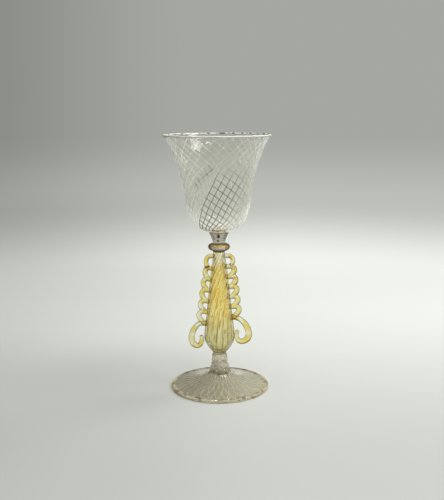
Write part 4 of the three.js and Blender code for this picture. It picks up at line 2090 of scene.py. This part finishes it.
@dataclass(frozen=True)
class PaperSweep:
    """Grey-white paper with painted light and shade: brightest on the floor behind the goblet, darker up the
    wall and to the left, with a painted shadow left of the foot.
    """

    name: str = "sweep_paper"
    cast: Colour = (0.972, 1.0, 0.93)
    # The floor's tone along Y, with painted light that brightens it towards the back.
    floor: Blend = (-0.16, 0.26, 0.62, 0.92)
    # How painted shade darkens it with the height where the floor bends up and on the wall, and the Y where
    # that sets in.
    bend: Blend = (-0.03, 0.06, 1.13, 0.58)
    rise: Blend = (0.045, 0.17, 1.0, 0.73)
    behind: Blend = (0.12, 0.36, 0.0, 1.0)
    # Painted shade on the floor's left, along an X that shifts with Y as far as a limit.
    left_painted_shade: Blend = (-0.5, 0.0, 0.58, 1.0)
    slant: float = 0.3
    slant_end: float = 0.42
    # A painted shadow near the front left: how much of the tone the floor loses there, and how far back it
    # reaches.
    near_painted_shadow_side: Blend = (-0.07, 0.04, 0.08, 0.0)
    near_painted_shadow: Blend = (-0.02, 0.16, 1.0, 0.0)
    # A painted shadow, darkest left of the foot, by the distance from its middle.
    painted_shadow_place: tuple[float, float, float] = (-0.07, 0.02, 0.0)
    painted_shadow_spot: Blend = (0.02, 0.12, 0.1, 0.0)
    # Painted shade on the wall's left, and the height at which it takes over from the floor's.
    wall_left_painted_shade: Blend = (-0.5, -0.02, 0.6, 1.0)
    wall_start: Blend = (0.0, 0.1, 0.0, 1.0)
    # The share of the tone that the lamps give, by the distance from the goblet. It keeps the shadow.
    lit: Blend = (0.15, 0.5, 0.65, 0.0)

    def tone(self, graph: Graph, place: bpy.types.NodeSocket) -> bpy.types.NodeSocket:
        """The paper's tone at a place, with its painted light, shade and shadow.

        Args:
            graph: The material's graph.
            place: The place's coordinates.

        Returns:
            The tone's output.
        """
        x, y, z = graph.split(place)
        risen = graph.times(graph.math("MINIMUM", graph.ramp(z, *self.bend), 1.0), graph.ramp(z, *self.rise))
        wall_painted_shade = graph.times(graph.rest(risen), graph.ramp(y, *self.behind))
        up = graph.times(graph.ramp(y, *self.floor), graph.rest(wall_painted_shade))
        shift = graph.times(graph.math("MINIMUM", y, self.slant_end), self.slant)
        left_painted_shade = graph.ramp(graph.math("SUBTRACT", x, shift), *self.left_painted_shade)
        near_painted_shadow = graph.times(graph.ramp(y, *self.near_painted_shadow), graph.ramp(x, *self.near_painted_shadow_side))
        away = graph.vector_math("DISTANCE", place, self.painted_shadow_place).outputs["Value"]
        painted_shadow = graph.math("ADD", near_painted_shadow, graph.ramp(away, *self.painted_shadow_spot))
        floor_painted_shade = graph.times(left_painted_shade, graph.rest(painted_shadow))
        on_wall = graph.ramp(z, *self.wall_start)
        wall_left_painted_shade = graph.times(graph.ramp(x, *self.wall_left_painted_shade), on_wall)
        side = graph.math("ADD", wall_left_painted_shade, graph.times(floor_painted_shade, graph.rest(on_wall)))
        return graph.times(up, side)

    def build(self) -> bpy.types.Material:
        """Builds the material.

        Returns:
            The new material.
        """
        material, graph = new_material(self.name)
        place = graph.add("ShaderNodeTexCoord").outputs["Object"]
        tinted = graph.mix(1.0, self.cast, self.tone(graph, place), "MULTIPLY")
        lit = graph.ramp(graph.vector_math("LENGTH", place).outputs["Value"], *self.lit)
        path = graph.add("ShaderNodeLightPath")
        in_glass = graph.math("MAXIMUM", path.outputs["Is Glossy Ray"], path.outputs["Is Transmission Ray"])
        seen = graph.math("MAXIMUM", path.outputs["Is Camera Ray"], in_glass)
        paper = graph.add("ShaderNodeBsdfDiffuse")
        graph.link(graph.mix(1.0, tinted, lit, "MULTIPLY"), paper.inputs["Color"])
        glow = graph.add("ShaderNodeEmission")
        graph.link(tinted, glow.inputs["Color"])
        graph.link(graph.times(seen, graph.rest(lit)), glow.inputs["Strength"])
        both = graph.add("ShaderNodeAddShader")
        graph.link(paper.outputs[0], both.inputs[0])
        graph.link(glow.outputs[0], both.inputs[1])
        graph.surface(both)
        return material


@dataclass(frozen=True)
class Lamp:
    """A soft lamp that faces the goblet."""

    name: str
    place: tuple[float, float, float]
    # Its width and height.
    size: tuple[float, float]
    watts: float
    # Whether the glass shows its reflection.
    mirrored: bool = True
    aim: tuple[float, float, float] = (0.0, 0.0, 0.08)

    def build(self) -> None:
        """Hangs the lamp, which neither the camera nor a ray through the glass sees."""
        data = bpy.data.lights.new(self.name, "AREA")
        data.shape = "RECTANGLE"
        data.size, data.size_y = self.size
        data.energy = self.watts
        lamp = bpy.data.objects.new(self.name, data)
        lamp.location = self.place
        lamp.rotation_euler = (Vector(self.aim) - Vector(self.place)).to_track_quat("-Z", "Y").to_euler()
        lamp.visible_camera = False
        lamp.visible_transmission = False
        lamp.visible_glossy = self.mirrored
        bpy.context.scene.collection.objects.link(lamp)


@dataclass(frozen=True)
class Studio:
    """The pale round sweep that the goblet stands on, the lamps and the camera."""

    floor_radius: float = 0.5
    wall_radius: float = 0.8
    wall_height: float = 0.7
    bend_steps: int = 24
    sides: int = 128
    room_colour: Colour = (0.35, 0.35, 0.35)
    sensor_height: float = 36
    focal_length: float = 54.81
    camera_place: tuple[float, float, float] = (2.2 * MM, -552.8 * MM, 208.65 * MM)
    camera_tilt: float = math.radians(79.42)
    camera_roll: float = math.radians(-0.28)
    lamps: tuple[Lamp, ...] = (
        Lamp("strip", (0, -0.7, 0.75), (1.0, 0.15), 3.0, mirrored=False),
        Lamp("fill", (0, -1.1, 0.3), (0.6, 0.3), 7.4, mirrored=False),
        Lamp("top", (-0.09, -0.13, 1.0), (0.12, 0.12), 1.4),
        Lamp("window", (0.6, -0.22, 0.8), (0.4, 0.28), 2.8),
        Lamp("front", (0.212, -0.366, 0.8), (0.16, 0.06), 0.8),
        Lamp("back", (0.6, 0.36, 0.6), (0.3, 0.3), 2.8, mirrored=False),
    )

    def sweep(self) -> None:
        """Lays the floor, which curves up into a wall all round."""
        foot = Vector((self.floor_radius, 0))
        rise = Vector((self.wall_radius, self.wall_radius - self.floor_radius))
        outline = [
            Vector((0, 0)),
            foot,
            *quarter_turn(foot, rise, self.bend_steps, True),
            Vector((self.wall_radius, self.wall_height)),
        ]
        new_object("sweep", turned(outline, self.sides), PaperSweep().build())

    def room(self) -> None:
        """Sets the even tone of the room round the sweep."""
        world = bpy.data.worlds.new("room")
        world.use_nodes = True
        world.node_tree.nodes["Background"].inputs["Color"].default_value = (*self.room_colour, 1)
        bpy.context.scene.world = world

    def camera(self) -> None:
        """Sets up the camera where the photograph was taken from."""
        data = bpy.data.cameras.new("camera")
        data.sensor_fit = "VERTICAL"
        data.sensor_height = self.sensor_height
        data.lens = self.focal_length
        camera = bpy.data.objects.new("camera", data)
        camera.location = self.camera_place
        turn = Matrix.Rotation(self.camera_tilt, 3, "X") @ Matrix.Rotation(self.camera_roll, 3, "Z")
        camera.rotation_euler = turn.to_euler()
        bpy.context.scene.collection.objects.link(camera)
        bpy.context.scene.camera = camera

    def build(self) -> None:
        """Builds the stage."""
        bpy.context.scene.view_settings.view_transform = "Standard"
        self.sweep()
        for lamp in self.lamps:
            lamp.build()
        self.room()
        self.camera()


def main() -> None:
    """Builds the studio and the goblet from the foot up."""
    logging.basicConfig(level=logging.INFO, format="%(name)s: %(message)s")
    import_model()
    Studio().build()
    effects = Effects()
    stem = Stem(effects)
    for part in (Foot(effects), Knops(effects), stem, Collar(effects), Cup(effects), Wings(effects, stem)):
        part.build()


if __name__ == "__main__":
    main()
